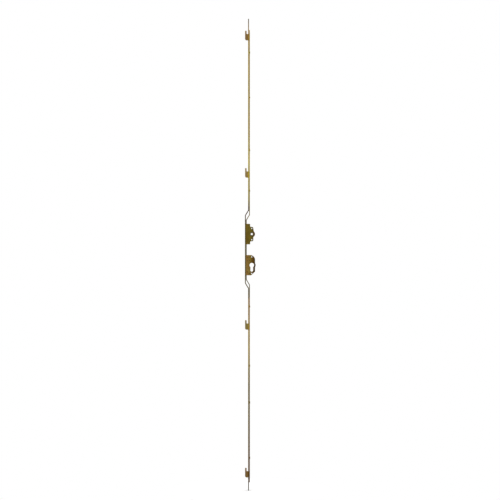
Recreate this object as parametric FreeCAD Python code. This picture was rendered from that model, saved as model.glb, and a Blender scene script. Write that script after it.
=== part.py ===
import FreeCAD, Part
import math
import os

# Patio door multipoint lock: a joggled faceplate, a drive bar with four hooks behind it, a gearbox turned by
# the handle's spindle and a lock box for a Euro-profile cylinder.
#
# Origin on the spindle axis, halfway through the lock's thickness. +X points from the faceplate into the door
# leaf, +Y runs along the spindle and +Z is up. All sizes are in millimetres. The bar and its hooks are down.

os.makedirs("parts", exist_ok=True)

# How far a body that cuts or joins runs past the surface that it meets
OVERRUN = 1.0

# Faceplate
BACKSET = 26.0
FACEPLATE_TOP = 817.0
FACEPLATE_BOTTOM = -973.0
FACEPLATE_WIDTH = 20.0
FACEPLATE_THICKNESS = 3.5
FACEPLATE_CORNER = 2.0
JOGGLE_OFFSET = 12.0
JOGGLE_RUN = 20.0
BEND_RADIUS = 3.0
FACEPLATE_TOP_JOGGLE = 81.3
FACEPLATE_BOTTOM_JOGGLE = -196.8

# Drive bar: its ends and the end hooks keep their distance from the faceplate's ends
BAR_TOP_INSET = 41.4
BAR_BOTTOM_INSET = 30.0
BAR_TOP = FACEPLATE_TOP - BAR_TOP_INSET
BAR_BOTTOM = FACEPLATE_BOTTOM + BAR_BOTTOM_INSET
BAR_WIDTH = 12.0
BAR_THICKNESS = 3.0
BAR_CHAMFER = 3.0
BAR_GAP = 0.3
BAR_TOP_JOGGLE = 63.5
BAR_BOTTOM_JOGGLE = -183.2

# Hooks: the height of each one's middle
TOP_HOOK_INSET = 21.1
BOTTOM_HOOK_INSET = 36.7
UPPER_HOOK_HEIGHT = 232.6
LOWER_HOOK_HEIGHT = -345.0
HOOK_HEIGHTS = {
    "hook_top": BAR_TOP - TOP_HOOK_INSET,
    "hook_upper": UPPER_HOOK_HEIGHT,
    "hook_lower": LOWER_HOOK_HEIGHT,
    "hook_bottom": BAR_BOTTOM + BOTTOM_HOOK_INSET,
}
HOOK_PROJECTION = 11.5
HOOK_HEIGHT = 36.3
HOOK_THICKNESS = 8.0
HOOK_FINGER = 5.8
HOOK_THROAT_DEPTH = 12.4
HOOK_FLOOR_FALL = 0.7
HOOK_HEEL_RADIUS = 6.0
HOOK_TIP_RADIUS = 2.2
HOOK_THROAT_RADIUS = 2.0
HOOK_EDGE = 0.6
HOOK_SLOT_GAP = 0.5
HOOK_SCREW_OFFSETS = (-13.0, -1.0)
HOOK_SCREW_RADIUS = 2.0
HOOK_SCREW_HEAD_RADIUS = 3.8
HOOK_SCREW_DEPTH = 8.0

# Screws and guide rivets along the faceplate
TOP_FIXING_INSET = 20.0
BOTTOM_FIXING_INSET = 18.0
INNER_FIXING_HEIGHTS = (610.0, 420.0, 120.0, 47.0, -59.0, -232.0, -430.0, -700.0)
FIXING_HEIGHTS = (
    FACEPLATE_TOP - TOP_FIXING_INSET,
    *INNER_FIXING_HEIGHTS,
    FACEPLATE_BOTTOM + BOTTOM_FIXING_INSET,
)
FIXING_RADIUS = 2.25
FIXING_HEAD_RADIUS = 4.25
FIXING_SLOT_WIDTH = 6.0
RIVET_HEIGHTS = (690.0, 520.0, 320.0, 165.0, -275.0, -500.0, -640.0, -850.0)
RIVET_RADIUS = 2.5
RIVET_FRONT_RADIUS = 4.0
RIVET_HEAD_RADIUS = 4.25
RIVET_HEAD_THICKNESS = 1.0
RIVET_GAP = 0.2
SOCKET_ACROSS_FLATS = 2.5
SOCKET_DEPTH = 1.4

# Box plates
CASE_INNER_WIDTH = 12.6
CASE_PLATE = 1.5
TAB_HEIGHT = 9.0
TAB_GAP = 0.1
PILLAR_RADIUS = 2.5
PILLAR_TENON_RADIUS = 1.75
SCREW_BUSH_RADIUS = 3.6
SCREW_BUSH_TENON_RADIUS = 3.0
SCREW_CORE_RADIUS = 2.1

# Gearbox
GEARBOX_HALF_HEIGHT = 39.0
GEARBOX_EAR_X = -6.1
GEARBOX_EAR_CORNER = 2.75
GEARBOX_STEP_RADIUS = 3.0
GEARBOX_BODY_HALF_HEIGHT = 27.5
GEARBOX_BODY_X = 5.9
GEARBOX_BOSS_RADIUS = 5.6
GEARBOX_SLANT_X = 7.6
GEARBOX_SLANT_TOP_X = 5.1
GEARBOX_SLANT_RADIUS = 5.2
GEARBOX_LOBE_RADIUS = 12.3
GEARBOX_LOBE_BLEND = 2.0
GEARBOX_TAB_HEIGHT = 30.0
GEARBOX_PILLAR_X = -11.5
GEARBOX_PILLAR_HEIGHT = 33.0
HANDLE_SCREW_SPACING = 43.0

# Follower and rack
SPINDLE_SQUARE = 7.1
GEAR_MODULE = 1.25
GEAR_TEETH_ROUND = 16
GEAR_TEETH_LEFT_OF = 1
GEAR_TEETH_PAST_REST = 5
GEAR_WIDTH = 8.0
PRESSURE_ANGLE = math.radians(20.0)
DEDENDUM_IN_MODULES = 1.25
TOOTH_THINNING = 0.10
RACK_ADDENDUM = 1.1
RACK_TEETH_ABOVE = 1
RACK_TEETH_BELOW = 5
RACK_MARGIN = 2.6
RACK_SCREW_OFFSET = 3.0
RACK_SCREW_RADIUS = 1.5
RACK_SCREW_HEAD_RADIUS = 2.9
RACK_SCREW_DEPTH = 5.0
JOURNAL_RADIUS = 7.5
JOURNAL_GAP = 0.06
FOLLOWER_SIDE_GAP = 0.1
FOLLOWER_FLAT_DEPTH = 0.5
FOLLOWER_TURN = 90.0

# Detent spring of the follower
SPRING_THICKNESS = 0.6
SPRING_WIDTH = 7.0
SPRING_GAP = 0.05
SPRING_ELBOW_HEIGHT = 8.6
SPRING_END_HEIGHT = -4.5

# Lock box, its heights counted from the cylinder axis
CYLINDER_DROP = 118.0
LOCKBOX_HALF_HEIGHT = 38.5
LOCKBOX_X = 12.4
LOCKBOX_TOP_RADIUS = 18.0
LOCKBOX_BULGE_RADIUS = 14.5
LOCKBOX_BULGE_BLEND = 8.0
LOCKBOX_CHAMFER_X = -2.5
LOCKBOX_CHAMFER_HEIGHT = -24.5
LOCKBOX_CHAMFER_RADIUS = 4.0
LOCKBOX_TAB_HEIGHT = 31.0
ESCUTCHEON_SCREW_X = -0.3
ESCUTCHEON_SCREW_HEIGHT = 31.3
LOCKBOX_PILLARS = ((8.5, 22.0), (9.0, -20.0))
EURO_RADIUS = 8.5
EURO_SLOT_WIDTH = 10.0
EURO_DEPTH = 24.5
EURO_GAP = 0.1
CYLINDER_SCREW_HEIGHT = -19.5
CYLINDER_SCREW_RADIUS = 2.65
CYLINDER_SCREW_HEAD_RADIUS = 4.8

# Deadlock slide: its notch takes the cylinder's cam
CAM_RADIUS = 15.0
CAM_TIP_HEIGHT = 6.0
CAM_GAP = 0.4
SLIDE_TRAVEL = 8.0
SLIDE_THICKNESS = 3.0
SLIDE_SIDE_GAP = 0.2
SLIDE_HORN_REACH = 12.5
SLIDE_TOP = 28.0
SLIDE_BOTTOM = -36.8
SLIDE_ARM_RIGHT = -4.3
GUIDE_STUD_X = -15.6
GUIDE_STUD_RADIUS = 1.75
GUIDE_STUD_GAP = 0.06
UPPER_STUD_HEIGHT = 17.8
LOWER_STUD_HEIGHT = -25.2
LOWER_STUD_SHOULDER_RADIUS = 2.7

# Deadlock block and its guides
BLOCK_TRAVEL = 3.2
BLOCK_HEIGHT = 24.0
BLOCK_TALL = 8.0
BLOCK_BACK_X = -5.5
BLOCK_NOSE_LENGTH = 4.0
BLOCK_NOSE_WIDTH = 5.8
BLOCK_LEAD_CHAMFER = 0.4
BLOCK_GAP = 0.4
BLOCK_SIDE_GAP = 0.1
BLOCK_SLIDING_GAP = 0.06
BLOCK_PIN_X = -7.4
BLOCK_PIN_RADIUS = 1.5
BLOCK_PIN_GAP = 0.08
WINDOW_GAP = 0.4
GUIDE_TALL = 4.4
GUIDE_TENON_INSET = 2.8
GUIDE_TENON_RADIUS = 1.5

# Detent spring of the slide
SLIDE_SPRING_THICKNESS = 0.5
SLIDE_SPRING_WIDTH = 2.4
SLIDE_SPRING_POST_X = -8.4
SLIDE_SPRING_POST_HEIGHT = -33.0
SLIDE_SPRING_POST_RADIUS = 2.0
SLIDE_NOTCH_HEIGHT = -22.0
SLIDE_NOTCH_DEPTH = 0.6
SLIDE_NOTCH_SLOPE = 2.0

# Worked out from the sizes above
FRONT_MIDDLE = -BACKSET
FRONT_OUTER = FRONT_MIDDLE + JOGGLE_OFFSET
BACK_MIDDLE = FRONT_MIDDLE + FACEPLATE_THICKNESS
BACK_OUTER = FRONT_OUTER + FACEPLATE_THICKNESS
BAR_FRONT_MIDDLE = BACK_MIDDLE + BAR_GAP
BAR_FRONT_OUTER = BACK_OUTER + BAR_GAP
BAR_BACK_MIDDLE = BAR_FRONT_MIDDLE + BAR_THICKNESS
BAR_BACK_OUTER = BAR_FRONT_OUTER + BAR_THICKNESS
PITCH_RADIUS = GEAR_MODULE * GEAR_TEETH_ROUND / 2
BAR_TRAVEL = math.radians(FOLLOWER_TURN) * PITCH_RADIUS
CASE_INNER = CASE_INNER_WIDTH / 2
CASE_OUTER = CASE_INNER + CASE_PLATE
CYLINDER_Z = -CYLINDER_DROP


def box(x, y, z):
    """A block between two values on each axis."""
    return Part.makeBox(x[1] - x[0], y[1] - y[0], z[1] - z[0], FreeCAD.Vector(x[0], y[0], z[0]))


def rod_x(radius, x, z, y=0.0):
    """A cylinder along X between two values of x."""
    return Part.makeCylinder(radius, x[1] - x[0], FreeCAD.Vector(x[0], y, z), FreeCAD.Vector(1, 0, 0))


def rod_y(radius, y, x, z):
    """A cylinder along Y between two values of y."""
    return Part.makeCylinder(radius, y[1] - y[0], FreeCAD.Vector(x, y[0], z), FreeCAD.Vector(0, 1, 0))


def countersink(face_x, inwards, head_radius, hole_radius, z):
    """A 90 degree cone that opens on the plane at face_x and narrows to the hole's radius."""
    depth = head_radius - hole_radius
    axis = FreeCAD.Vector(inwards, 0, 0)
    return Part.makeCone(head_radius, hole_radius, depth, FreeCAD.Vector(face_x, 0, z), axis)


def slot_x(width, x, low, high):
    """A slot along Z with round ends, cut along X. low and high are the centres of the two ends."""
    radius = width / 2
    middle = box(x, (-radius, radius), (low, high))
    return middle.fuse([rod_x(radius, x, low), rod_x(radius, x, high)]).removeSplitter()


def slot_y(radius, y, start, end):
    """A straight slot with round ends, cut along Y between two points (x, z)."""
    dx = end[0] - start[0]
    dz = end[1] - start[1]
    length = math.hypot(dx, dz)
    middle = box((0, length), y, (-radius, radius))
    middle.rotate(FreeCAD.Vector(0, 0, 0), FreeCAD.Vector(0, 1, 0), -math.degrees(math.atan2(dz, dx)))
    middle.translate(FreeCAD.Vector(start[0], 0, start[1]))
    ends = [rod_y(radius, y, start[0], start[1]), rod_y(radius, y, end[0], end[1])]
    return middle.fuse(ends).removeSplitter()


def plate(corners, y):
    """A flat plate between two values of y. Each corner of its outline is (x, z, radius)."""
    vectors = [FreeCAD.Vector(x, y[0], z) for x, z, radius in corners]
    edges = []
    joints = []
    for i, (x, z, radius) in enumerate(corners):
        here = vectors[i]
        if radius <= 0:
            joints.append((here, here))
            continue
        back = (vectors[i - 1] - here).normalize()
        ahead = (vectors[(i + 1) % len(corners)] - here).normalize()
        half = back.getAngle(ahead) / 2
        reach = radius / math.tan(half)
        first = here + back * reach
        last = here + ahead * reach
        bisector = (back + ahead).normalize()
        middle = here + bisector * (radius / math.sin(half) - radius)
        edges.append(Part.Arc(first, middle, last).toShape())
        joints.append((first, last))
    for i, (first, last) in enumerate(joints):
        start = joints[i - 1][1]
        if start.distanceToPoint(first) > 1e-6:
            edges.append(Part.LineSegment(start, first).toShape())
    wire = Part.Wire(Part.__sortEdges__(edges))
    return Part.Face(wire).extrude(FreeCAD.Vector(0, y[1] - y[0], 0))


def is_along_y(edge):
    """Whether an edge is a straight line along Y."""
    box_of_edge = edge.BoundBox
    return len(edge.Vertexes) == 2 and box_of_edge.XLength < 1e-6 and box_of_edge.ZLength < 1e-6


def distance_to(edge, x, z):
    """How far an edge's middle is from a place, seen along Y."""
    middle = edge.CenterOfMass
    return math.hypot(middle.x - x, middle.z - z)


def round_along_y(solid, places):
    """Fillets the edges along Y that lie nearest the given places (x, z, radius)."""
    for x, z, radius in places:
        nearest = min(filter(is_along_y, solid.Edges), key=lambda edge: distance_to(edge, x, z))
        solid = solid.makeFillet(radius, [nearest])
    return solid


def strip(front, thickness, width):
    """A flat strip bent along a front line (x, z), from the bottom up, with its thickness towards +X."""
    last = len(front) - 1
    ways = []
    for (x0, z0), (x1, z1) in zip(front, front[1:]):
        length = math.hypot(x1 - x0, z1 - z0)
        ways.append(((x1 - x0) / length, (z1 - z0) / length))
    near = []
    far = []
    for i, (x, z) in enumerate(front):
        before = ways[max(i - 1, 0)]
        after = ways[min(i, last - 1)]
        turn_right = before[1] * after[0] - before[0] * after[1]
        inner = BEND_RADIUS
        outer = BEND_RADIUS + thickness
        bent = 0 < i < last
        normal = (before[1] + after[1], -before[0] - after[0])
        share = 1 + before[0] * after[0] + before[1] * after[1]
        near.append((x, z, (outer if turn_right > 0 else inner) if bent else 0))
        back_x = x + thickness * normal[0] / share
        back_z = z + thickness * normal[1] / share
        far.append((back_x, back_z, (inner if turn_right > 0 else outer) if bent else 0))
    return plate(near + far[::-1], (-width / 2, width / 2))


def joggled_line(bottom, top, bottom_joggle, top_joggle, outer_x, middle_x):
    """The front line of a strip that steps from outer_x to middle_x between its two joggles."""
    half = JOGGLE_RUN / 2
    return [
        (outer_x, bottom),
        (outer_x, bottom_joggle - half),
        (middle_x, bottom_joggle + half),
        (middle_x, top_joggle - half),
        (outer_x, top_joggle + half),
        (outer_x, top),
    ]


def in_middle(height):
    """Whether a height lies on the middle stretch of the faceplate."""
    return FACEPLATE_BOTTOM_JOGGLE < height < FACEPLATE_TOP_JOGGLE


def faceplate_span(height):
    """The front and back of the faceplate at a height."""
    return (FRONT_MIDDLE, BACK_MIDDLE) if in_middle(height) else (FRONT_OUTER, BACK_OUTER)


def bar_span(height):
    """The front and back of the drive bar at a height."""
    if in_middle(height):
        return (BAR_FRONT_MIDDLE, BAR_BACK_MIDDLE)
    return (BAR_FRONT_OUTER, BAR_BACK_OUTER)


def wider(span):
    """A span made longer at both ends, for a clean cut."""
    return (span[0] - OVERRUN, span[1] + OVERRUN)


def both_sides(y):
    """The same span on the near side (-Y) and on the far side (+Y)."""
    return ((-y[1], -y[0]), y)


# Box plates: the tabs go through the faceplate and end flush with its front
TAB_HEIGHTS = (GEARBOX_TAB_HEIGHT, -GEARBOX_TAB_HEIGHT,
               CYLINDER_Z + LOCKBOX_TAB_HEIGHT, CYLINDER_Z - LOCKBOX_TAB_HEIGHT)


def tab(height, y, gap=0.0):
    """A tab of a box plate, or with a gap the slot that takes it."""
    half = TAB_HEIGHT / 2 + gap
    front = FRONT_MIDDLE - OVERRUN if gap else FRONT_MIDDLE
    return box((front, BACK_MIDDLE + OVERRUN), (y[0] - gap, y[1] + gap), (height - half, height + half))


# Faceplate
def make_faceplate():
    line = joggled_line(FACEPLATE_BOTTOM, FACEPLATE_TOP, FACEPLATE_BOTTOM_JOGGLE, FACEPLATE_TOP_JOGGLE,
                        FRONT_OUTER, FRONT_MIDDLE)
    body = strip(line, FACEPLATE_THICKNESS, FACEPLATE_WIDTH)
    ends = [e for e in body.Edges if abs(e.BoundBox.XLength - FACEPLATE_THICKNESS) < 1e-6
            and e.BoundBox.YLength < 1e-6 and e.BoundBox.ZLength < 1e-6]
    body = body.makeFillet(FACEPLATE_CORNER, ends)
    cuts = []
    for height in FIXING_HEIGHTS:
        span = faceplate_span(height)
        cuts.append(rod_x(FIXING_RADIUS, wider(span), height))
        cuts.append(countersink(span[0], 1, FIXING_HEAD_RADIUS, FIXING_RADIUS, height))
    for height in RIVET_HEIGHTS:
        span = faceplate_span(height)
        cuts.append(rod_x(RIVET_RADIUS, wider(span), height))
        cuts.append(countersink(span[0], 1, RIVET_FRONT_RADIUS, RIVET_RADIUS, height))
    for centre in HOOK_HEIGHTS.values():
        half = HOOK_THICKNESS / 2 + HOOK_SLOT_GAP
        low = centre - HOOK_HEIGHT / 2 - HOOK_SLOT_GAP
        high = centre + HOOK_HEIGHT / 2 - HOOK_THROAT_DEPTH + BAR_TRAVEL + HOOK_SLOT_GAP
        cuts.append(box(wider(faceplate_span(centre)), (-half, half), (low, high)))
    for height in TAB_HEIGHTS:
        for y in both_sides((CASE_INNER, CASE_OUTER)):
            cuts.append(tab(height, y, TAB_GAP))
    screw = CYLINDER_Z + CYLINDER_SCREW_HEIGHT
    cuts.append(rod_x(CYLINDER_SCREW_RADIUS, wider((FRONT_MIDDLE, BACK_MIDDLE)), screw))
    cuts.append(countersink(FRONT_MIDDLE, 1, CYLINDER_SCREW_HEAD_RADIUS, CYLINDER_SCREW_RADIUS, screw))
    return body.cut(cuts)


# Drive bar: long slots clear the screws and rivets over its whole travel
def make_drive_bar():
    line = joggled_line(BAR_BOTTOM, BAR_TOP, BAR_BOTTOM_JOGGLE, BAR_TOP_JOGGLE,
                        BAR_FRONT_OUTER, BAR_FRONT_MIDDLE)
    body = strip(line, BAR_THICKNESS, BAR_WIDTH)
    ends = [e for e in body.Edges if abs(e.BoundBox.XLength - BAR_THICKNESS) < 1e-6
            and e.BoundBox.YLength < 1e-6 and e.BoundBox.ZLength < 1e-6]
    body = body.makeChamfer(BAR_CHAMFER, ends)
    cuts = []
    for height in FIXING_HEIGHTS:
        if BAR_BOTTOM < height < BAR_TOP:
            cuts.append(slot_x(FIXING_SLOT_WIDTH, wider(bar_span(height)), height - BAR_TRAVEL, height))
    for height in RIVET_HEIGHTS:
        width = 2 * (RIVET_RADIUS + RIVET_GAP)
        cuts.append(slot_x(width, wider(bar_span(height)), height - BAR_TRAVEL, height))
    for centre in HOOK_HEIGHTS.values():
        for offset in HOOK_SCREW_OFFSETS:
            height = centre + offset
            cuts.append(rod_x(HOOK_SCREW_RADIUS, wider(bar_span(height)), height))
            cuts.append(countersink(BAR_BACK_OUTER, -1, HOOK_SCREW_HEAD_RADIUS, HOOK_SCREW_RADIUS, height))
    for height in rack_screw_heights():
        cuts.append(rod_x(RACK_SCREW_RADIUS, wider(bar_span(height)), height))
        cuts.append(countersink(BAR_FRONT_MIDDLE, 1, RACK_SCREW_HEAD_RADIUS, RACK_SCREW_RADIUS, height))
    half_width = BLOCK_NOSE_WIDTH / 2 + WINDOW_GAP
    half_height = BLOCK_TALL / 2 + WINDOW_GAP
    for raised in (0.0, BAR_TRAVEL):
        middle = CYLINDER_Z + BLOCK_HEIGHT - raised
        cuts.append(box(wider((BAR_FRONT_MIDDLE, BAR_BACK_MIDDLE)), (-half_width, half_width),
                        (middle - half_height, middle + half_height)))
    screw = CYLINDER_Z + CYLINDER_SCREW_HEIGHT
    cuts.append(slot_x(FIXING_SLOT_WIDTH, wider(bar_span(screw)), screw - BAR_TRAVEL, screw))
    return body.cut(cuts)


# Hooks: each stands on the front of the bar and reaches out through its slot of the faceplate
def make_hook(centre):
    low = centre - HOOK_HEIGHT / 2
    high = centre + HOOK_HEIGHT / 2
    front = FRONT_OUTER - HOOK_PROJECTION
    floor = high - HOOK_THROAT_DEPTH
    half = HOOK_THICKNESS / 2
    outline = [
        (BAR_FRONT_OUTER, low, 0),
        (front, low, HOOK_HEEL_RADIUS),
        (front, high, HOOK_TIP_RADIUS),
        (front + HOOK_FINGER, high, HOOK_TIP_RADIUS),
        (front + HOOK_FINGER, floor, HOOK_THROAT_RADIUS),
        (BAR_FRONT_OUTER, floor - HOOK_FLOOR_FALL, 0),
    ]
    body = plate(outline, (-half, half))
    edges = [e for e in body.Edges
             if e.BoundBox.YLength < 1e-6 and e.BoundBox.XMax < BAR_FRONT_OUTER - 1e-3]
    body = body.makeChamfer(HOOK_EDGE, edges)
    deep = (BAR_FRONT_OUTER - HOOK_SCREW_DEPTH, BAR_FRONT_OUTER + OVERRUN)
    return body.cut([rod_x(HOOK_SCREW_RADIUS, deep, centre + offset) for offset in HOOK_SCREW_OFFSETS])


def make_hook_screws():
    screws = []
    for centre in HOOK_HEIGHTS.values():
        for offset in HOOK_SCREW_OFFSETS:
            height = centre + offset
            shank = rod_x(HOOK_SCREW_RADIUS, (BAR_FRONT_OUTER - HOOK_SCREW_DEPTH, BAR_BACK_OUTER), height)
            head = countersink(BAR_BACK_OUTER, -1, HOOK_SCREW_HEAD_RADIUS, HOOK_SCREW_RADIUS, height)
            screws.append(with_socket(shank.fuse(head).removeSplitter(), BAR_BACK_OUTER, -1, height))
    return Part.makeCompound(screws)


def with_socket(screw, face_x, inwards, height):
    """Cuts a hexagon socket into a screw's flat head."""
    radius = SOCKET_ACROSS_FLATS / math.sqrt(3)
    points = []
    for i in range(7):
        angle = math.radians(60 * i)
        points.append(FreeCAD.Vector(face_x, radius * math.cos(angle), height + radius * math.sin(angle)))
    depth = FreeCAD.Vector(inwards * SOCKET_DEPTH, 0, 0)
    return screw.cut(Part.Face(Part.makePolygon(points)).extrude(depth))


def make_guide_rivets():
    rivets = []
    for height in RIVET_HEIGHTS:
        front = faceplate_span(height)[0]
        back = bar_span(height)[1] + RIVET_GAP
        shank = rod_x(RIVET_RADIUS, (front, back), height)
        flush = countersink(front, 1, RIVET_FRONT_RADIUS, RIVET_RADIUS, height)
        head = rod_x(RIVET_HEAD_RADIUS, (back, back + RIVET_HEAD_THICKNESS), height)
        rivets.append(shank.fuse([flush, head]).removeSplitter())
    return Part.makeCompound(rivets)


# Gear teeth: full involutes on the follower, straight flanks on the rack
def involute(base_radius, radius):
    """The angle by which an involute has turned at a radius."""
    angle = math.acos(base_radius / radius)
    return math.tan(angle) - angle


def rack_pitch():
    return math.pi * GEAR_MODULE


def root_radius():
    return PITCH_RADIUS - DEDENDUM_IN_MODULES * GEAR_MODULE


def make_tooth(direction):
    """One tooth of the follower. direction is in degrees from -X towards -Z."""
    base = PITCH_RADIUS * math.cos(PRESSURE_ANGLE)
    tip = PITCH_RADIUS + GEAR_MODULE
    half_at_pitch = (rack_pitch() / 2 - TOOTH_THINNING) / 2 / PITCH_RADIUS
    half_at_base = half_at_pitch + involute(base, PITCH_RADIUS)
    radii = [base + (tip - base) * share for share in (0.0, 0.15, 0.4, 0.7, 1.0)]
    inside = root_radius() - OVERRUN

    def point(radius, angle):
        return FreeCAD.Vector(radius * math.cos(angle), -GEAR_WIDTH / 2, radius * math.sin(angle))

    flanks = []
    for side in (-1, 1):
        curve = Part.BSplineCurve()
        curve.interpolate([point(radius, side * (half_at_base - involute(base, radius))) for radius in radii])
        flanks.append(curve.toShape())
    half_at_tip = half_at_base - involute(base, tip)
    crown = Part.Arc(point(tip, -half_at_tip), point(tip, 0), point(tip, half_at_tip)).toShape()
    foot = [point(base, half_at_base), point(inside, half_at_base), point(inside, -half_at_base),
            point(base, -half_at_base)]
    lines = [Part.LineSegment(a, b).toShape() for a, b in zip(foot, foot[1:])]
    wire = Part.Wire(Part.__sortEdges__([flanks[0], crown, flanks[1]] + lines))
    tooth = Part.Face(wire).extrude(FreeCAD.Vector(0, GEAR_WIDTH, 0))
    tooth.rotate(FreeCAD.Vector(0, 0, 0), FreeCAD.Vector(0, 1, 0), 180.0 - direction)
    return tooth


def make_follower():
    side = CASE_INNER - FOLLOWER_SIDE_GAP
    hub = rod_y(root_radius(), (-side, side), 0, 0)
    journal = rod_y(JOURNAL_RADIUS, (-CASE_OUTER, CASE_OUTER), 0, 0)
    step = 360.0 / GEAR_TEETH_ROUND
    teeth = [make_tooth(step * (i + 0.5)) for i in range(-GEAR_TEETH_LEFT_OF, GEAR_TEETH_PAST_REST)]
    body = hub.fuse([journal] + teeth).removeSplitter()
    flat = root_radius() - FOLLOWER_FLAT_DEPTH
    beyond = (flat, root_radius() + OVERRUN)
    wide = (-root_radius(), root_radius())
    square = SPINDLE_SQUARE / 2
    return body.cut([
        box(beyond, (-side, side), wide),
        box(wide, (-side, side), beyond),
        box((-square, square), wider((-CASE_OUTER, CASE_OUTER)), (-square, square)),
    ])


def rack_ends():
    """The bottom and top of the rack."""
    return (-RACK_TEETH_BELOW * rack_pitch() - RACK_MARGIN, RACK_TEETH_ABOVE * rack_pitch() + RACK_MARGIN)


def rack_screw_heights():
    low, high = rack_ends()
    return (low + RACK_SCREW_OFFSET, high - RACK_SCREW_OFFSET)


def make_rack():
    low, high = rack_ends()
    half = GEAR_WIDTH / 2
    root = -PITCH_RADIUS - DEDENDUM_IN_MODULES * GEAR_MODULE
    tip = -PITCH_RADIUS + RACK_ADDENDUM
    slope = math.tan(PRESSURE_ANGLE)
    half_at_pitch = (rack_pitch() / 2 - TOOTH_THINNING) / 2
    corners = [(BAR_BACK_MIDDLE, high, 0), (BAR_BACK_MIDDLE, low, 0), (root, low, 0)]
    for i in range(-RACK_TEETH_BELOW, RACK_TEETH_ABOVE + 1):
        middle = i * rack_pitch()
        half_at_root = half_at_pitch + slope * (-PITCH_RADIUS - root)
        half_at_tip = half_at_pitch - slope * (tip + PITCH_RADIUS)
        corners.append((root, middle - half_at_root, 0))
        corners.append((tip, middle - half_at_tip, 0))
        corners.append((tip, middle + half_at_tip, 0))
        corners.append((root, middle + half_at_root, 0))
    corners.append((root, high, 0))
    body = plate(corners, (-half, half))
    deep = (BAR_BACK_MIDDLE - OVERRUN, BAR_BACK_MIDDLE + RACK_SCREW_DEPTH)
    return body.cut([rod_x(RACK_SCREW_RADIUS, deep, height) for height in rack_screw_heights()])


def make_rack_screws():
    screws = []
    for height in rack_screw_heights():
        shank = rod_x(RACK_SCREW_RADIUS, (BAR_FRONT_MIDDLE, BAR_BACK_MIDDLE + RACK_SCREW_DEPTH), height)
        head = countersink(BAR_FRONT_MIDDLE, 1, RACK_SCREW_HEAD_RADIUS, RACK_SCREW_RADIUS, height)
        screws.append(with_socket(shank.fuse(head).removeSplitter(), BAR_FRONT_MIDDLE, 1, height))
    return Part.makeCompound(screws)


# Gearbox plates: pressed from sheet, with a round lobe about the spindle
def make_gearbox_plate(y):
    body_half = GEARBOX_BODY_HALF_HEIGHT
    lobe_meet = math.sqrt(GEARBOX_LOBE_RADIUS ** 2 - GEARBOX_SLANT_X ** 2)
    outline = [
        (BACK_MIDDLE, -GEARBOX_HALF_HEIGHT, 0),
        (GEARBOX_EAR_X, -GEARBOX_HALF_HEIGHT, GEARBOX_EAR_CORNER),
        (GEARBOX_EAR_X, -body_half, GEARBOX_STEP_RADIUS),
        (GEARBOX_BODY_X, -body_half, GEARBOX_BOSS_RADIUS),
        (GEARBOX_BODY_X, 0, 0),
        (GEARBOX_SLANT_X, 0, 0),
        (GEARBOX_SLANT_X, lobe_meet, 0),
        (GEARBOX_SLANT_TOP_X, body_half, GEARBOX_SLANT_RADIUS),
        (GEARBOX_EAR_X, body_half, GEARBOX_STEP_RADIUS),
        (GEARBOX_EAR_X, GEARBOX_HALF_HEIGHT, GEARBOX_EAR_CORNER),
        (BACK_MIDDLE, GEARBOX_HALF_HEIGHT, 0),
    ]
    body = plate(outline, y).fuse(rod_y(GEARBOX_LOBE_RADIUS, y, 0, 0)).removeSplitter()
    low_meet = -math.sqrt(GEARBOX_LOBE_RADIUS ** 2 - GEARBOX_BODY_X ** 2)
    body = round_along_y(body, [(GEARBOX_BODY_X, low_meet, GEARBOX_LOBE_BLEND),
                                (GEARBOX_SLANT_X, lobe_meet, GEARBOX_LOBE_BLEND)])
    body = body.fuse([tab(height, y) for height in (GEARBOX_TAB_HEIGHT, -GEARBOX_TAB_HEIGHT)])
    cuts = [rod_y(JOURNAL_RADIUS + JOURNAL_GAP, wider(y), 0, 0)]
    for height in (HANDLE_SCREW_SPACING / 2, -HANDLE_SCREW_SPACING / 2):
        cuts.append(rod_y(SCREW_BUSH_TENON_RADIUS, wider(y), 0, height))
    for height in (GEARBOX_PILLAR_HEIGHT, -GEARBOX_PILLAR_HEIGHT):
        cuts.append(rod_y(PILLAR_TENON_RADIUS, wider(y), GEARBOX_PILLAR_X, height))
    return body.removeSplitter().cut(cuts)


def make_bush(x, z):
    """A turned bush between two box plates, riveted into both and threaded for a through screw."""
    middle = rod_y(SCREW_BUSH_RADIUS, (-CASE_INNER, CASE_INNER), x, z)
    tenon = rod_y(SCREW_BUSH_TENON_RADIUS, (-CASE_OUTER, CASE_OUTER), x, z)
    hole = rod_y(SCREW_CORE_RADIUS, wider((-CASE_OUTER, CASE_OUTER)), x, z)
    return middle.fuse(tenon).removeSplitter().cut(hole)


def make_pillar(x, z):
    """A turned pillar between two box plates, riveted flush into both."""
    middle = rod_y(PILLAR_RADIUS, (-CASE_INNER, CASE_INNER), x, z)
    tenon = rod_y(PILLAR_TENON_RADIUS, (-CASE_OUTER, CASE_OUTER), x, z)
    return middle.fuse(tenon).removeSplitter()


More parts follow.
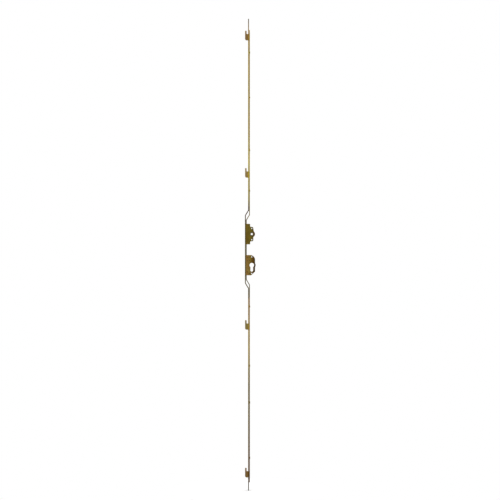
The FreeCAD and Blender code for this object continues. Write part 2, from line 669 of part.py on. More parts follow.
# Detent spring: a strip bent round the upper handle screw bush, whose leaf lies on a flat of the follower
def make_detent_spring():
    inner = SCREW_BUSH_RADIUS + SPRING_GAP
    half = SPRING_WIDTH / 2
    y = (-half, half)
    centre_z = HANDLE_SCREW_SPACING / 2
    ring = rod_y(inner + SPRING_THICKNESS, y, 0, centre_z).cut(rod_y(inner, wider(y), 0, centre_z))
    opening = box((-inner - OVERRUN, 0), wider(y), (centre_z - inner - OVERRUN, centre_z))
    leaf_x = root_radius() - FOLLOWER_FLAT_DEPTH + SPRING_GAP
    elbow = (leaf_x, SPRING_ELBOW_HEIGHT)
    apart = math.hypot(elbow[0], elbow[1] - centre_z)
    towards = math.atan2(elbow[1] - centre_z, elbow[0])
    aside = math.acos(inner / apart)
    start_angle = towards + aside
    start = (inner * math.cos(start_angle), centre_z + inner * math.sin(start_angle))
    out = (math.cos(start_angle), math.sin(start_angle))
    start_out = (start[0] + SPRING_THICKNESS * out[0], start[1] + SPRING_THICKNESS * out[1])
    elbow_out = (leaf_x + SPRING_THICKNESS, SPRING_ELBOW_HEIGHT + SPRING_THICKNESS * out[1] / (1 + out[0]))
    leaf = plate([
        (start[0], start[1], 0),
        (elbow[0], elbow[1], 0),
        (leaf_x, SPRING_END_HEIGHT, 0),
        (leaf_x + SPRING_THICKNESS, SPRING_END_HEIGHT, 0),
        (elbow_out[0], elbow_out[1], 0),
        (start_out[0], start_out[1], 0),
    ], y)
    return ring.cut(opening).fuse(leaf).removeSplitter()


# Lock box plates
def euro_profile(y):
    """The Euro-profile cut-out: a round hole with a slot that hangs below it."""
    radius = EURO_RADIUS + EURO_GAP
    half = EURO_SLOT_WIDTH / 2 + EURO_GAP
    foot = CYLINDER_Z - EURO_DEPTH - EURO_GAP + half
    return rod_y(radius, y, 0, CYLINDER_Z).fuse(slot_y(half, y, (0, CYLINDER_Z), (0, foot))).removeSplitter()


def guide_tenons(middle):
    """The two places where a guide block is riveted to the near plate."""
    left = BAR_BACK_MIDDLE + BLOCK_GAP + GUIDE_TENON_INSET
    right = BLOCK_BACK_X - GUIDE_TENON_INSET
    return ((left, middle), (right, middle))


def guide_middles():
    """The heights of the two guide blocks, below and above the deadlock block."""
    away = BLOCK_TALL / 2 + BLOCK_SLIDING_GAP + GUIDE_TALL / 2
    block = CYLINDER_Z + BLOCK_HEIGHT
    return (block - away, block + away)


def make_lock_plate(y, holes):
    low = CYLINDER_Z - LOCKBOX_HALF_HEIGHT
    high = CYLINDER_Z + LOCKBOX_HALF_HEIGHT
    outline = [
        (BACK_MIDDLE, low, 0),
        (LOCKBOX_CHAMFER_X, low, LOCKBOX_CHAMFER_RADIUS),
        (LOCKBOX_X, CYLINDER_Z + LOCKBOX_CHAMFER_HEIGHT, LOCKBOX_CHAMFER_RADIUS),
        (LOCKBOX_X, high, LOCKBOX_TOP_RADIUS),
        (BACK_MIDDLE, high, 0),
    ]
    bulge = rod_y(LOCKBOX_BULGE_RADIUS, y, 0, CYLINDER_Z)
    body = plate(outline, y).fuse(bulge).removeSplitter()
    meet = math.sqrt(LOCKBOX_BULGE_RADIUS ** 2 - LOCKBOX_X ** 2)
    body = round_along_y(body, [(LOCKBOX_X, CYLINDER_Z + meet, LOCKBOX_BULGE_BLEND),
                                (LOCKBOX_X, CYLINDER_Z - meet, LOCKBOX_BULGE_BLEND)])
    tabs = [tab(CYLINDER_Z + side * LOCKBOX_TAB_HEIGHT, y) for side in (1, -1)]
    body = body.fuse(tabs).removeSplitter()
    cuts = [euro_profile(wider(y))]
    for side in (1, -1):
        cuts.append(rod_y(SCREW_BUSH_TENON_RADIUS, wider(y), ESCUTCHEON_SCREW_X,
                          CYLINDER_Z + side * ESCUTCHEON_SCREW_HEIGHT))
    for x, z in LOCKBOX_PILLARS:
        cuts.append(rod_y(PILLAR_TENON_RADIUS, wider(y), x, CYLINDER_Z + z))
    for x, z, radius in holes:
        cuts.append(rod_y(radius, wider(y), x, z))
    return body.cut(cuts)


# Deadlock slide: a stamped plate that lies along the far side plate
def slide_span():
    """The slide's two faces."""
    far = CASE_INNER - SLIDE_SIDE_GAP
    return (far - SLIDE_THICKNESS, far)


def make_deadlock_slide():
    y = slide_span()
    left = BAR_BACK_MIDDLE + CAM_GAP
    leave = math.sqrt(CAM_RADIUS ** 2 - SLIDE_HORN_REACH ** 2)
    notch = 2 * leave + CAM_TIP_HEIGHT - SLIDE_TRAVEL + CAM_GAP
    notch_middle = CYLINDER_Z - SLIDE_TRAVEL / 2
    low = CYLINDER_Z + SLIDE_BOTTOM
    high = CYLINDER_Z + SLIDE_TOP
    tall = box((left, SLIDE_ARM_RIGHT), y, (low, high))
    right = SLIDE_ARM_RIGHT + OVERRUN
    right_of_horns = box((-SLIDE_HORN_REACH, right), wider(y), (low - OVERRUN, CYLINDER_Z))
    swept = rod_y(CAM_RADIUS + CAM_GAP, wider(y), 0, CYLINDER_Z)
    horn_zone = box((left - OVERRUN, -SLIDE_HORN_REACH), wider(y), (low - OVERRUN, high))
    body = tall.cut([right_of_horns, swept.cut(horn_zone)])
    cam_x = -CAM_RADIUS - CAM_GAP
    cuts = [box((cam_x, 0), wider(y), (notch_middle - notch / 2, notch_middle + notch / 2))]
    for stud in (UPPER_STUD_HEIGHT, LOWER_STUD_HEIGHT):
        top = CYLINDER_Z + stud
        cuts.append(slot_y(GUIDE_STUD_RADIUS + GUIDE_STUD_GAP, wider(y), (GUIDE_STUD_X, top - SLIDE_TRAVEL),
                           (GUIDE_STUD_X, top)))
    pin_z = CYLINDER_Z + BLOCK_HEIGHT
    cuts.append(slot_y(BLOCK_PIN_RADIUS + BLOCK_PIN_GAP, wider(y),
                       (BLOCK_PIN_X - BLOCK_TRAVEL, pin_z - SLIDE_TRAVEL), (BLOCK_PIN_X, pin_z)))
    mouth_half = SLIDE_NOTCH_SLOPE * (SLIDE_NOTCH_DEPTH + OVERRUN)
    for step in (0.0, SLIDE_TRAVEL):
        middle = CYLINDER_Z + SLIDE_NOTCH_HEIGHT - step
        cuts.append(plate([
            (-SLIDE_HORN_REACH - SLIDE_NOTCH_DEPTH, middle, 0),
            (-SLIDE_HORN_REACH + OVERRUN, middle - mouth_half, 0),
            (-SLIDE_HORN_REACH + OVERRUN, middle + mouth_half, 0),
        ], wider(y)))
    return body.cut(cuts)


# Deadlock block, its pin and its guides
def block_span():
    """The block's two faces across the lock."""
    return (-CASE_INNER + BLOCK_SIDE_GAP, slide_span()[0] - SLIDE_SIDE_GAP)


def make_deadlock_block():
    nose = BAR_BACK_MIDDLE + BLOCK_GAP
    middle = CYLINDER_Z + BLOCK_HEIGHT
    z = (middle - BLOCK_TALL / 2, middle + BLOCK_TALL / 2)
    half = BLOCK_NOSE_WIDTH / 2
    body = box((nose + BLOCK_NOSE_LENGTH, BLOCK_BACK_X), block_span(), z)
    body = body.fuse(box((nose, nose + BLOCK_NOSE_LENGTH), (-half, half), z)).removeSplitter()
    lead = [e for e in body.Edges if abs(e.BoundBox.XMax - nose) < 1e-6 and e.BoundBox.YLength > 1e-3]
    body = body.makeChamfer(BLOCK_LEAD_CHAMFER, lead)
    return body.cut(rod_y(BLOCK_PIN_RADIUS, wider(block_span()), BLOCK_PIN_X, middle))


def make_block_pin():
    return rod_y(BLOCK_PIN_RADIUS, (block_span()[0], slide_span()[1]), BLOCK_PIN_X, CYLINDER_Z + BLOCK_HEIGHT)


def make_guide(middle, with_stud):
    x = (BAR_BACK_MIDDLE + BLOCK_GAP, BLOCK_BACK_X)
    y = (-CASE_INNER, block_span()[1])
    body = box(x, y, (middle - GUIDE_TALL / 2, middle + GUIDE_TALL / 2))
    tenons = [rod_y(GUIDE_TENON_RADIUS, (-CASE_OUTER, 0), tx, tz) for tx, tz in guide_tenons(middle)]
    if with_stud:
        tenons.append(rod_y(GUIDE_STUD_RADIUS, (0, CASE_OUTER), GUIDE_STUD_X, CYLINDER_Z + UPPER_STUD_HEIGHT))
    return body.fuse(tenons).removeSplitter()


def make_lower_stud():
    """The shouldered stud that guides the lower end of the slide."""
    z = CYLINDER_Z + LOWER_STUD_HEIGHT
    shoulder = rod_y(LOWER_STUD_SHOULDER_RADIUS, (-CASE_INNER, block_span()[1]), GUIDE_STUD_X, z)
    stud = rod_y(GUIDE_STUD_RADIUS, (-CASE_OUTER, CASE_OUTER), GUIDE_STUD_X, z)
    return shoulder.fuse(stud).removeSplitter()


# Detent spring of the slide: a strip bent round its post, whose bent tip drops into a notch of the slide
def slide_spring_post():
    return (SLIDE_SPRING_POST_X, CYLINDER_Z + SLIDE_SPRING_POST_HEIGHT)


def make_slide_spring():
    x, z = slide_spring_post()
    inner = SLIDE_SPRING_POST_RADIUS + SPRING_GAP
    middle_y = sum(slide_span()) / 2
    y = (middle_y - SLIDE_SPRING_WIDTH / 2, middle_y + SLIDE_SPRING_WIDTH / 2)
    ring = rod_y(inner + SLIDE_SPRING_THICKNESS, y, x, z).cut(rod_y(inner, wider(y), x, z))
    opening = box((x, x + inner + OVERRUN), wider(y), (z, z + inner + OVERRUN))
    right = x - inner
    left = right - SLIDE_SPRING_THICKNESS
    tip_x = -SLIDE_HORN_REACH - SLIDE_NOTCH_DEPTH + SPRING_GAP
    tip_z = CYLINDER_Z + SLIDE_NOTCH_HEIGHT
    rise = left - tip_x
    inner_rise = rise + SLIDE_SPRING_THICKNESS * math.tan(math.pi / 8)
    leaf = plate([
        (right, z, 0),
        (right, tip_z - inner_rise, 0),
        (right - inner_rise, tip_z, 0),
        (right, tip_z + inner_rise, 0),
        (left, tip_z + rise, 0),
        (tip_x, tip_z, 0),
        (left, tip_z - rise, 0),
        (left, z, 0),
    ], y)
    return ring.cut(opening).fuse(leaf).removeSplitter()


def make_slide_spring_post():
    x, z = slide_spring_post()
    middle = rod_y(SLIDE_SPRING_POST_RADIUS, (-CASE_INNER, CASE_INNER), x, z)
    tenon = rod_y(PILLAR_TENON_RADIUS, (-CASE_OUTER, CASE_OUTER), x, z)
    return middle.fuse(tenon).removeSplitter()


near, far = both_sides((CASE_INNER, CASE_OUTER))
lower_guide, upper_guide = guide_middles()
stud_hole = (GUIDE_STUD_X, CYLINDER_Z + LOWER_STUD_HEIGHT, GUIDE_STUD_RADIUS)
post_hole = slide_spring_post() + (PILLAR_TENON_RADIUS,)
near_holes = [stud_hole, post_hole]
for guide_middle in guide_middles():
    near_holes += [(x, z, GUIDE_TENON_RADIUS) for x, z in guide_tenons(guide_middle)]
far_holes = [stud_hole, post_hole, (GUIDE_STUD_X, CYLINDER_Z + UPPER_STUD_HEIGHT, GUIDE_STUD_RADIUS)]

nodes = {
    "faceplate": make_faceplate(),
    "guide_rivets": make_guide_rivets(),
    "drive_bar": make_drive_bar(),
    "drive_rack": make_rack(),
    "rack_screws": make_rack_screws(),
    "hook_screws": make_hook_screws(),
    "gearbox_near_plate": make_gearbox_plate(near),
    "gearbox_far_plate": make_gearbox_plate(far),
    "gearbox_pillars": Part.makeCompound([
        make_pillar(GEARBOX_PILLAR_X, side * GEARBOX_PILLAR_HEIGHT) for side in (1, -1)]),
    "handle_screw_bushes": Part.makeCompound([
        make_bush(0, side * HANDLE_SCREW_SPACING / 2) for side in (1, -1)]),
    "follower": make_follower(),
    "follower_detent_spring": make_detent_spring(),
    "lock_near_plate": make_lock_plate(near, near_holes),
    "lock_far_plate": make_lock_plate(far, far_holes),
    "lock_pillars": Part.makeCompound([make_pillar(x, CYLINDER_Z + z) for x, z in LOCKBOX_PILLARS]),
    "escutcheon_screw_bushes": Part.makeCompound([
        make_bush(ESCUTCHEON_SCREW_X, CYLINDER_Z + side * ESCUTCHEON_SCREW_HEIGHT) for side in (1, -1)]),
    "deadlock_slide": make_deadlock_slide(),
    "deadlock_block": make_deadlock_block(),
    "deadlock_block_pin": make_block_pin(),
    "deadlock_lower_guide": make_guide(lower_guide, True),
    "deadlock_upper_guide": make_guide(upper_guide, False),
    "slide_lower_stud": make_lower_stud(),
    "slide_detent_spring": make_slide_spring(),
    "slide_spring_post": make_slide_spring_post(),
}
for name, centre in HOOK_HEIGHTS.items():
    nodes[name] = make_hook(centre)

for name, shape in nodes.items():
    if not shape.isValid():
        print("not valid:", name)
    print(f"{name}: {len(shape.Solids)} solids, {shape.Volume:.1f} mm3")
    shape.exportStep(f"parts/{name}.step")
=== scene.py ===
import math

import bmesh
import bpy
from mathutils.geometry import delaunay_2d_cdt
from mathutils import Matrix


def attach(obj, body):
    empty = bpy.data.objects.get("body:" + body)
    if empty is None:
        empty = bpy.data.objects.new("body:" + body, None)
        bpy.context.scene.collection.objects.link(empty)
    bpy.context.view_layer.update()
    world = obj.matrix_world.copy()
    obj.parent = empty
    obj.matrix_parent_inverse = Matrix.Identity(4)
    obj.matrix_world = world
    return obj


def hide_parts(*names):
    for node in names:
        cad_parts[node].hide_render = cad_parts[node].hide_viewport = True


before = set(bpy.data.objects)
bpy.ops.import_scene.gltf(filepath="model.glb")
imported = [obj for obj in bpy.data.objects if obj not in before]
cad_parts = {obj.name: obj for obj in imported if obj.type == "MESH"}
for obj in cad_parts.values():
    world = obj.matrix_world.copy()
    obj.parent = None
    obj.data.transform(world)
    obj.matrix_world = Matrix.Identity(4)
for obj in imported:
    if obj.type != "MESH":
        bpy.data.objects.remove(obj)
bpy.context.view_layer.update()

# Faceplate. A 20 mm wide strip of 3.5 mm mild steel, sheared to width, pierced and countersunk flat, joggled
# in a press so that its middle stretch stands 12 mm further out, and then zinc plated and passivated yellow.
# Sizes are in millimetres, and places are measured from the spindle's axis.
MM = 0.001
FRONT_MIDDLE = -26.0
JOGGLE_OFFSET = 12.0
FRONT_OUTER = FRONT_MIDDLE + JOGGLE_OFFSET
JOGGLE_RUN = 20.0
BEND_RADIUS = 3.0
BEND_STEPS = 6
FACEPLATE_ENDS = (-973.0, 817.0)
FACEPLATE_JOGGLES = (-196.8, 81.3)
FACEPLATE_THICKNESS = 3.5
FACEPLATE_WIDTH = 20.0
FACEPLATE_CORNER = 2.0
SAME_PLACE = 1e-6


def joggled_line(ends, joggles, outer_x, middle_x, thickness):
    """A strip's line from its lower end up: (distance along it, front x, z, direction to its back x, z)."""
    half = JOGGLE_RUN / 2
    corners = [(outer_x, ends[0]), (outer_x, joggles[0] - half), (middle_x, joggles[0] + half),
               (middle_x, joggles[1] - half), (outer_x, joggles[1] + half), (outer_x, ends[1])]
    ways = [math.atan2(b[0] - a[0], b[1] - a[1]) for a, b in zip(corners, corners[1:])]
    line = [(0.0, outer_x, ends[0], 1.0, 0.0)]
    for corner, before, after in zip(corners[1:-1], ways, ways[1:]):
        turn = after - before
        radius = BEND_RADIUS + (thickness if turn > 0 else 0.0)
        reach = radius * math.tan(abs(turn) / 2)
        side = math.copysign(radius, turn)
        centre_x = corner[0] - reach * math.sin(before) + side * math.cos(before)
        centre_z = corner[1] - reach * math.cos(before) - side * math.sin(before)
        bend_start = (centre_x - side * math.cos(before), centre_z + side * math.sin(before))
        straight = math.dist(bend_start, line[-1][1:3])
        bend_at = line[-1][0] + straight
        for k in range(BEND_STEPS + 1):
            angle = before + turn * k / BEND_STEPS
            line.append((bend_at + radius * abs(turn) * k / BEND_STEPS,
                         centre_x - side * math.cos(angle), centre_z + side * math.sin(angle),
                         math.cos(angle), -math.sin(angle)))
    distance, _, z, *_ = line[-1]
    line.append((distance + ends[1] - z, outer_x, ends[1], 1.0, 0.0))
    return line


def along(line, height):
    """The distance along a strip's line of a height on one of its upright stretches."""
    for a, b in zip(line, line[1:]):
        if a[2] <= height <= b[2] and abs(a[1] - b[1]) < SAME_PLACE:
            return a[0] + height - a[2]


def rounded(corners, arc_steps=8):
    """A closed outline through corners (x, y, radius), each corner rounded by a tangent arc."""
    points = []
    for i, (x, y, radius) in enumerate(corners):
        if radius == 0:
            points.append((x, y))
            continue
        before = corners[i - 1]
        after = corners[(i + 1) % len(corners)]
        a = math.atan2(before[1] - y, before[0] - x)
        b = math.atan2(after[1] - y, after[0] - x)
        opening = (b - a + math.pi) % (2 * math.pi) - math.pi
        half = opening / 2
        middle = a + half
        away = radius / abs(math.sin(half))
        centre = (x + away * math.cos(middle), y + away * math.sin(middle))
        sweep = math.copysign(math.pi - abs(opening), -opening)
        start = a + math.copysign(math.pi / 2, -opening)
        for k in range(arc_steps + 1):
            angle = start + sweep * k / arc_steps
            points.append((centre[0] + radius * math.cos(angle), centre[1] + radius * math.sin(angle)))
    return points


def block(x, y, corner=0.0):
    """A rectangular outline between two values each way."""
    return rounded([(x[0], y[0], corner), (x[1], y[0], corner),
                    (x[1], y[1], corner), (x[0], y[1], corner)])


faceplate_line = joggled_line(FACEPLATE_ENDS, FACEPLATE_JOGGLES, FRONT_OUTER, FRONT_MIDDLE,
                              FACEPLATE_THICKNESS)
faceplate_outline = block((-FACEPLATE_WIDTH / 2, FACEPLATE_WIDTH / 2), (0, faceplate_line[-1][0]),
                          FACEPLATE_CORNER)

# Its holes are the countersunk fixing holes, the holes that the rivets fill, slots that let the hooks rise,
# tight slots for the tabs of the boxes, and one hole for the screw that holds the cylinder. Half-way round a
# quarter circle, a rounded edge lies ARC_MIDDLE of its radius in from either face.
PITCH_RADIUS = 10.0
BAR_TRAVEL = PITCH_RADIUS * math.pi / 2
FIXING_HEIGHTS = (797.0, 610.0, 420.0, 120.0, 47.0, -59.0, -232.0, -430.0, -700.0, -955.0)
FIXING_RADIUS = 2.25
FIXING_HEAD_RADIUS = 4.25
CYLINDER_SCREW_HEIGHTS = (-137.5,)
CYLINDER_SCREW_RADIUS = 2.65
CYLINDER_SCREW_HEAD_RADIUS = 4.8
RIVET_HEIGHTS = (690.0, 520.0, 320.0, 165.0, -275.0, -500.0, -640.0, -850.0)
RIVET_RADIUS = 2.5
RIVET_FRONT_RADIUS = 4.0
HOOK_HEIGHTS = {"hook_top": 754.5, "hook_upper": 232.6, "hook_lower": -345.0, "hook_bottom": -906.3}
HOOK_THICKNESS = 8.0
HOOK_HEIGHT = 36.3
HOOK_THROAT_DEPTH = 12.4
HOOK_SLOT_GAP = 0.5
HOOK_SLOT_CORNER = 0.5
CASE_PLATE = 1.5
CASE_INNER = 6.3
CASE_OUTER = CASE_INNER + CASE_PLATE
PLATE_NEAR = (-CASE_OUTER, -CASE_INNER)
PLATE_FAR = (CASE_INNER, CASE_OUTER)
GEARBOX_TABS = (30.0, -30.0)
LOCKBOX_TABS = (-87.0, -149.0)
TAB_HEIGHT = 9.0
TAB_GAP = 0.1
SHEARED_EDGE = 0.25
SLOT_EDGE = 0.2
COUNTERSINK_EDGE = 0.15
SNUG_EDGE = 0.05
ARC_MIDDLE = 0.29
ROUND_SIDES = 32
SMALL_SIDES = 24


def circle(x, y, radius, sides=ROUND_SIDES):
    """A round outline, anticlockwise."""
    turns = [2 * math.pi * (i + 0.5) / sides for i in range(sides)]
    return [(x + radius * math.cos(a), y + radius * math.sin(a)) for a in turns]


def plain_rim(thickness, edge):
    """How far a clean hole's rim is rounded back at each depth, from the front to the back."""
    inset = ARC_MIDDLE * edge
    return [(edge, 0), (inset, inset), (0, edge),
            (0, thickness - edge), (inset, thickness - inset), (edge, thickness)]


def countersunk(line, heights, radius, head_radius, thickness, edge, sides=ROUND_SIDES, from_back=False):
    """Round holes through a strip at some heights, countersunk from its front or from its back."""
    sink = head_radius - radius
    rim = [(sink + edge, 0), (sink, edge / 2), (0, sink + edge / 2),
           (0, thickness - edge), (edge, thickness)]
    if from_back:
        rim = [(growth, thickness - depth) for growth, depth in reversed(rim)]
    return [(circle(0, along(line, height), radius, sides), rim) for height in heights]


faceplate_holes = countersunk(faceplate_line, FIXING_HEIGHTS, FIXING_RADIUS, FIXING_HEAD_RADIUS,
                              FACEPLATE_THICKNESS, COUNTERSINK_EDGE)
faceplate_holes += countersunk(faceplate_line, RIVET_HEIGHTS, RIVET_RADIUS, RIVET_FRONT_RADIUS,
                               FACEPLATE_THICKNESS, SNUG_EDGE)
for centre in HOOK_HEIGHTS.values():
    slot_half = HOOK_THICKNESS / 2 + HOOK_SLOT_GAP
    hook_low = centre - HOOK_HEIGHT / 2
    hook_floor = centre + HOOK_HEIGHT / 2 - HOOK_THROAT_DEPTH
    slot_low = along(faceplate_line, hook_low - HOOK_SLOT_GAP)
    slot_high = along(faceplate_line, hook_floor + BAR_TRAVEL + HOOK_SLOT_GAP)
    faceplate_holes.append((block((-slot_half, slot_half), (slot_low, slot_high), HOOK_SLOT_CORNER),
                            plain_rim(FACEPLATE_THICKNESS, SLOT_EDGE)))
for height in GEARBOX_TABS + LOCKBOX_TABS:
    for low, high in (PLATE_NEAR, PLATE_FAR):
        tab_middle = along(faceplate_line, height)
        tab_half = TAB_HEIGHT / 2 + TAB_GAP
        tab_slot = block((low - TAB_GAP, high + TAB_GAP), (tab_middle - tab_half, tab_middle + tab_half))
        faceplate_holes.append((tab_slot, plain_rim(FACEPLATE_THICKNESS, SNUG_EDGE)))
faceplate_holes += countersunk(faceplate_line, CYLINDER_SCREW_HEIGHTS, CYLINDER_SCREW_RADIUS,
                               CYLINDER_SCREW_HEAD_RADIUS, FACEPLATE_THICKNESS, COUNTERSINK_EDGE)

# The strip is drawn flat first and then bent. In its shading the flat faces outweigh the steps of a bend, and
# these outweigh the rounded rims. The layer's name is the one that the weighted normal modifier looks for.
FACE_STRENGTH = "__mod_weightednormals_faceweight"
WEAK, MEDIUM, STRONG = -16384, 0, 16384

# The fill leaves the holes open. A bend's cuts take points within CUT_REACH as their own, and PLACE_ROUNDING
# is more than single precision loses.
INSIDE_WITH_HOLES = 2
CUT_REACH = 0.005
PLACE_ROUNDING = 0.001


def grown(outline, by):
    """An anticlockwise outline made larger all round by a distance, or smaller by a negative one."""
    points = []
    for i, (x, y) in enumerate(outline):
        before = outline[i - 1]
        after = outline[(i + 1) % len(outline)]
        first = math.hypot(x - before[0], y - before[1])
        second = math.hypot(after[0] - x, after[1] - y)
        normal_a = ((y - before[1]) / first, (before[0] - x) / first)
        normal_b = ((after[1] - y) / second, (x - after[0]) / second)
        share = 1 + normal_a[0] * normal_b[0] + normal_a[1] * normal_b[1]
        points.append((x + by * (normal_a[0] + normal_b[0]) / share,
                       y + by * (normal_a[1] + normal_b[1]) / share))
    return points


def pierced_sheet(outline, holes, thickness, edge):
    """A flat sheet with rounded edges. holes are (outline, rim) pairs, and depth runs from front to back. Its
    UV map, in metres, is flat on the two faces and (round the outline, depth) on the rims. The straight wall
    of each rim is a cut edge and takes the second material.
    """
    sheet = bmesh.new()
    uv = sheet.loops.layers.uv.new("sheet")
    strength = sheet.faces.layers.int.new(FACE_STRENGTH)
    outer_rim = [(-growth, depth) for growth, depth in plain_rim(thickness, edge)]
    fronts = []
    backs = []
    for points, rim in [(outline, outer_rim)] + holes:
        rows = [[sheet.verts.new((x, y, depth)) for x, y in grown(points, growth)]
                for growth, depth in rim]
        around = [0.0]
        for i in range(len(points)):
            around.append(around[-1] + math.dist(points[i - 1], points[i]))
        for (above, upper), (below, lower) in zip(zip(rim, rows), zip(rim[1:], rows[1:])):
            for i in range(len(points)):
                face = sheet.faces.new((upper[i - 1], upper[i], lower[i], lower[i - 1]))
                face.material_index = int(above[0] == below[0])
                face[strength] = WEAK
                places = ((around[i], above[1]), (around[i + 1], above[1]),
                          (around[i + 1], below[1]), (around[i], below[1]))
                for corner, (u, v) in zip(face.loops, places):
                    corner[uv].uv = (MM * u, MM * v)
        fronts.append(rows[0])
        backs.append(rows[-1])
    for rows in (fronts, backs):
        corners = [vert for row in rows for vert in row]
        borders = []
        for row in rows:
            first = sum(len(border) for border in borders)
            borders.append(list(range(first, first + len(row))))
        flat = [vert.co.xy for vert in corners]
        filled = delaunay_2d_cdt(flat, [], borders, INSIDE_WITH_HOLES, SAME_PLACE)
        triangles, origins = filled[2], filled[3]
        for triangle in triangles:
            face = sheet.faces.new([corners[origins[i][0]] for i in triangle])
            face[strength] = STRONG
            for corner in face.loops:
                corner[uv].uv = (MM * corner.vert.co.x, MM * corner.vert.co.y)
    bmesh.ops.recalc_face_normals(sheet, faces=sheet.faces)
    return sheet


def stretch(line, distance):
    """The number of the stretch of a strip's line that holds a distance along it."""
    return max(i for i in range(len(line) - 1) if line[i][0] <= distance)


def joggle(sheet, line):
    """Bends a flat strip, drawn as (across, distance along, depth), to its line. Each step of a bend becomes
    one face on either side, because slivers in it would smudge its shading.
    """
    for cut, *_ in line[1:-1]:
        everything = sheet.verts[:] + sheet.edges[:] + sheet.faces[:]
        bmesh.ops.bisect_plane(sheet, geom=everything, plane_co=(0, cut, 0), plane_no=(0, 1, 0),
                               dist=CUT_REACH)
    strength = sheet.faces.layers.int[FACE_STRENGTH]
    steps = {}
    for face in sheet.faces:
        i = stretch(line, face.calc_center_median().y)
        if face[strength] == STRONG and line[i][3:] != line[i + 1][3:]:
            face[strength] = MEDIUM
            steps[face] = i
    inner = [edge for edge in sheet.edges
             if edge.link_faces[0] in steps and len({steps.get(face) for face in edge.link_faces}) == 1]
    bmesh.ops.dissolve_edges(sheet, edges=inner, use_verts=True)
    for vert in sheet.verts:
        across, distance, depth = vert.co
        i = stretch(line, distance + PLACE_ROUNDING)
        a, b = line[i], line[i + 1]
        share = (distance - a[0]) / (b[0] - a[0])
        x, z, back_x, back_z = (p + (q - p) * share for p, q in zip(a[1:], b[1:]))
        vert.co = (x + depth * back_x, across, z + depth * back_z)


faceplate_sheet = pierced_sheet(faceplate_outline, faceplate_holes, FACEPLATE_THICKNESS, SHEARED_EDGE)
joggle(faceplate_sheet, faceplate_line)

# The chromate film is grey at the strip's ends. From the top down it drifts from deep gold to pale straw and
# green gold, turns rust at the upper joggle and olive between the joggles, and goes on from brown and straw
# to olive gold and rose.
DEEP_GOLD = "#c4a612"
PALE_STRAW = "#e2ce54"
STRAW = "#d2b44a"
GREEN_GOLD = "#b8a824"
OLIVE = "#706410"
OLIVE_GOLD = "#947c08"
BROWN = "#bc9048"
RUST = "#5e360a"
ROSE = "#885a20"
GREY = "#5c5c52"

# The film is under a micron thick, so its gold turns softly to olive and rose, like oil on water. FILM_TURNS
# is how often it does so within a cloud's range.
FILM_TINTS = [(0.0, "#c9a52a"), (0.3, "#b09030"), (0.5, "#9b8838"), (0.7, "#869446"), (0.86, "#a97e4c"),
              (1.0, "#b5704c")]
FILM_TURNS = 3.4

# Widths of what a finish is made of, in millimetres. The last four are coarser than on a real part, as coarse
# as they need to be to show. Nearly all values of a noise lie in MOST_NOISE.
CLOUD = 28.0
PATCH = 11.0
ROLLING_MARK = 0.6
ZINC_CRYSTAL = 1.2
DRAG_MARK = 0.3
TORN_GRAIN = 0.2
MOST_NOISE = (0.3, 0.7)


def linear(hex_colour):
    """An sRGB hex colour as linear RGBA."""
    channels = [int(hex_colour[i:i + 2], 16) / 255 for i in (1, 3, 5)]
    return tuple(c / 12.92 if c <= 0.04045 else ((c + 0.055) / 1.055) ** 2.4 for c in channels) + (1.0,)


def add(tree, kind, inputs=None, **settings):
    """Adds a node with its settings. inputs are values or sockets to link."""
    made = tree.nodes.new("ShaderNode" + kind)
    for key, value in settings.items():
        setattr(made, key, value)
    for key, value in (inputs or {}).items():
        if isinstance(value, bpy.types.NodeSocket):
            tree.links.new(value, made.inputs[key])
        else:
            made.inputs[key].default_value = value
    return made


def noise(tree, place, width, detail=2.0, **inputs):
    """A noise from 0 to 1 whose clouds are about a width in millimetres across."""
    made = add(tree, "TexNoise", {"Vector": place, "Scale": 1 / MM / width, "Detail": detail, **inputs})
    return made.outputs["Fac"]


def fitted(tree, value, source, target=(0.0, 1.0)):
    """A value carried over from one range to another."""
    made = add(tree, "MapRange", {"Value": value, "From Min": source[0], "From Max": source[1],
                                  "To Min": target[0], "To Max": target[1]})
    return made.outputs[0]


def product(tree, value, factor):
    """A value times a factor, which may be another value."""
    return add(tree, "Math", {0: value, 1: factor}, operation="MULTIPLY").outputs[0]


def moved(tree, value, by, times):
    """A value moved by a number of times another one."""
    return add(tree, "Math", {0: by, 1: times, 2: value}, operation="MULTIPLY_ADD").outputs[0]


def shaded(tree, colour, shade):
    """A colour made darker or lighter by a factor."""
    return add(tree, "VectorMath", {0: colour, "Scale": shade}, operation="SCALE").outputs["Vector"]


def gradient(tree, share, stops):
    """The colour at a share of the way through stops, each (place from 0 to 1, sRGB hex)."""
    made = add(tree, "ValToRGB", {"Fac": share})
    ramp = made.color_ramp
    while len(ramp.elements) < len(stops):
        ramp.elements.new(0.5)
    for element, (place, colour) in zip(ramp.elements, stops):
        element.position = place
        element.color = linear(colour)
    return made.outputs["Color"]


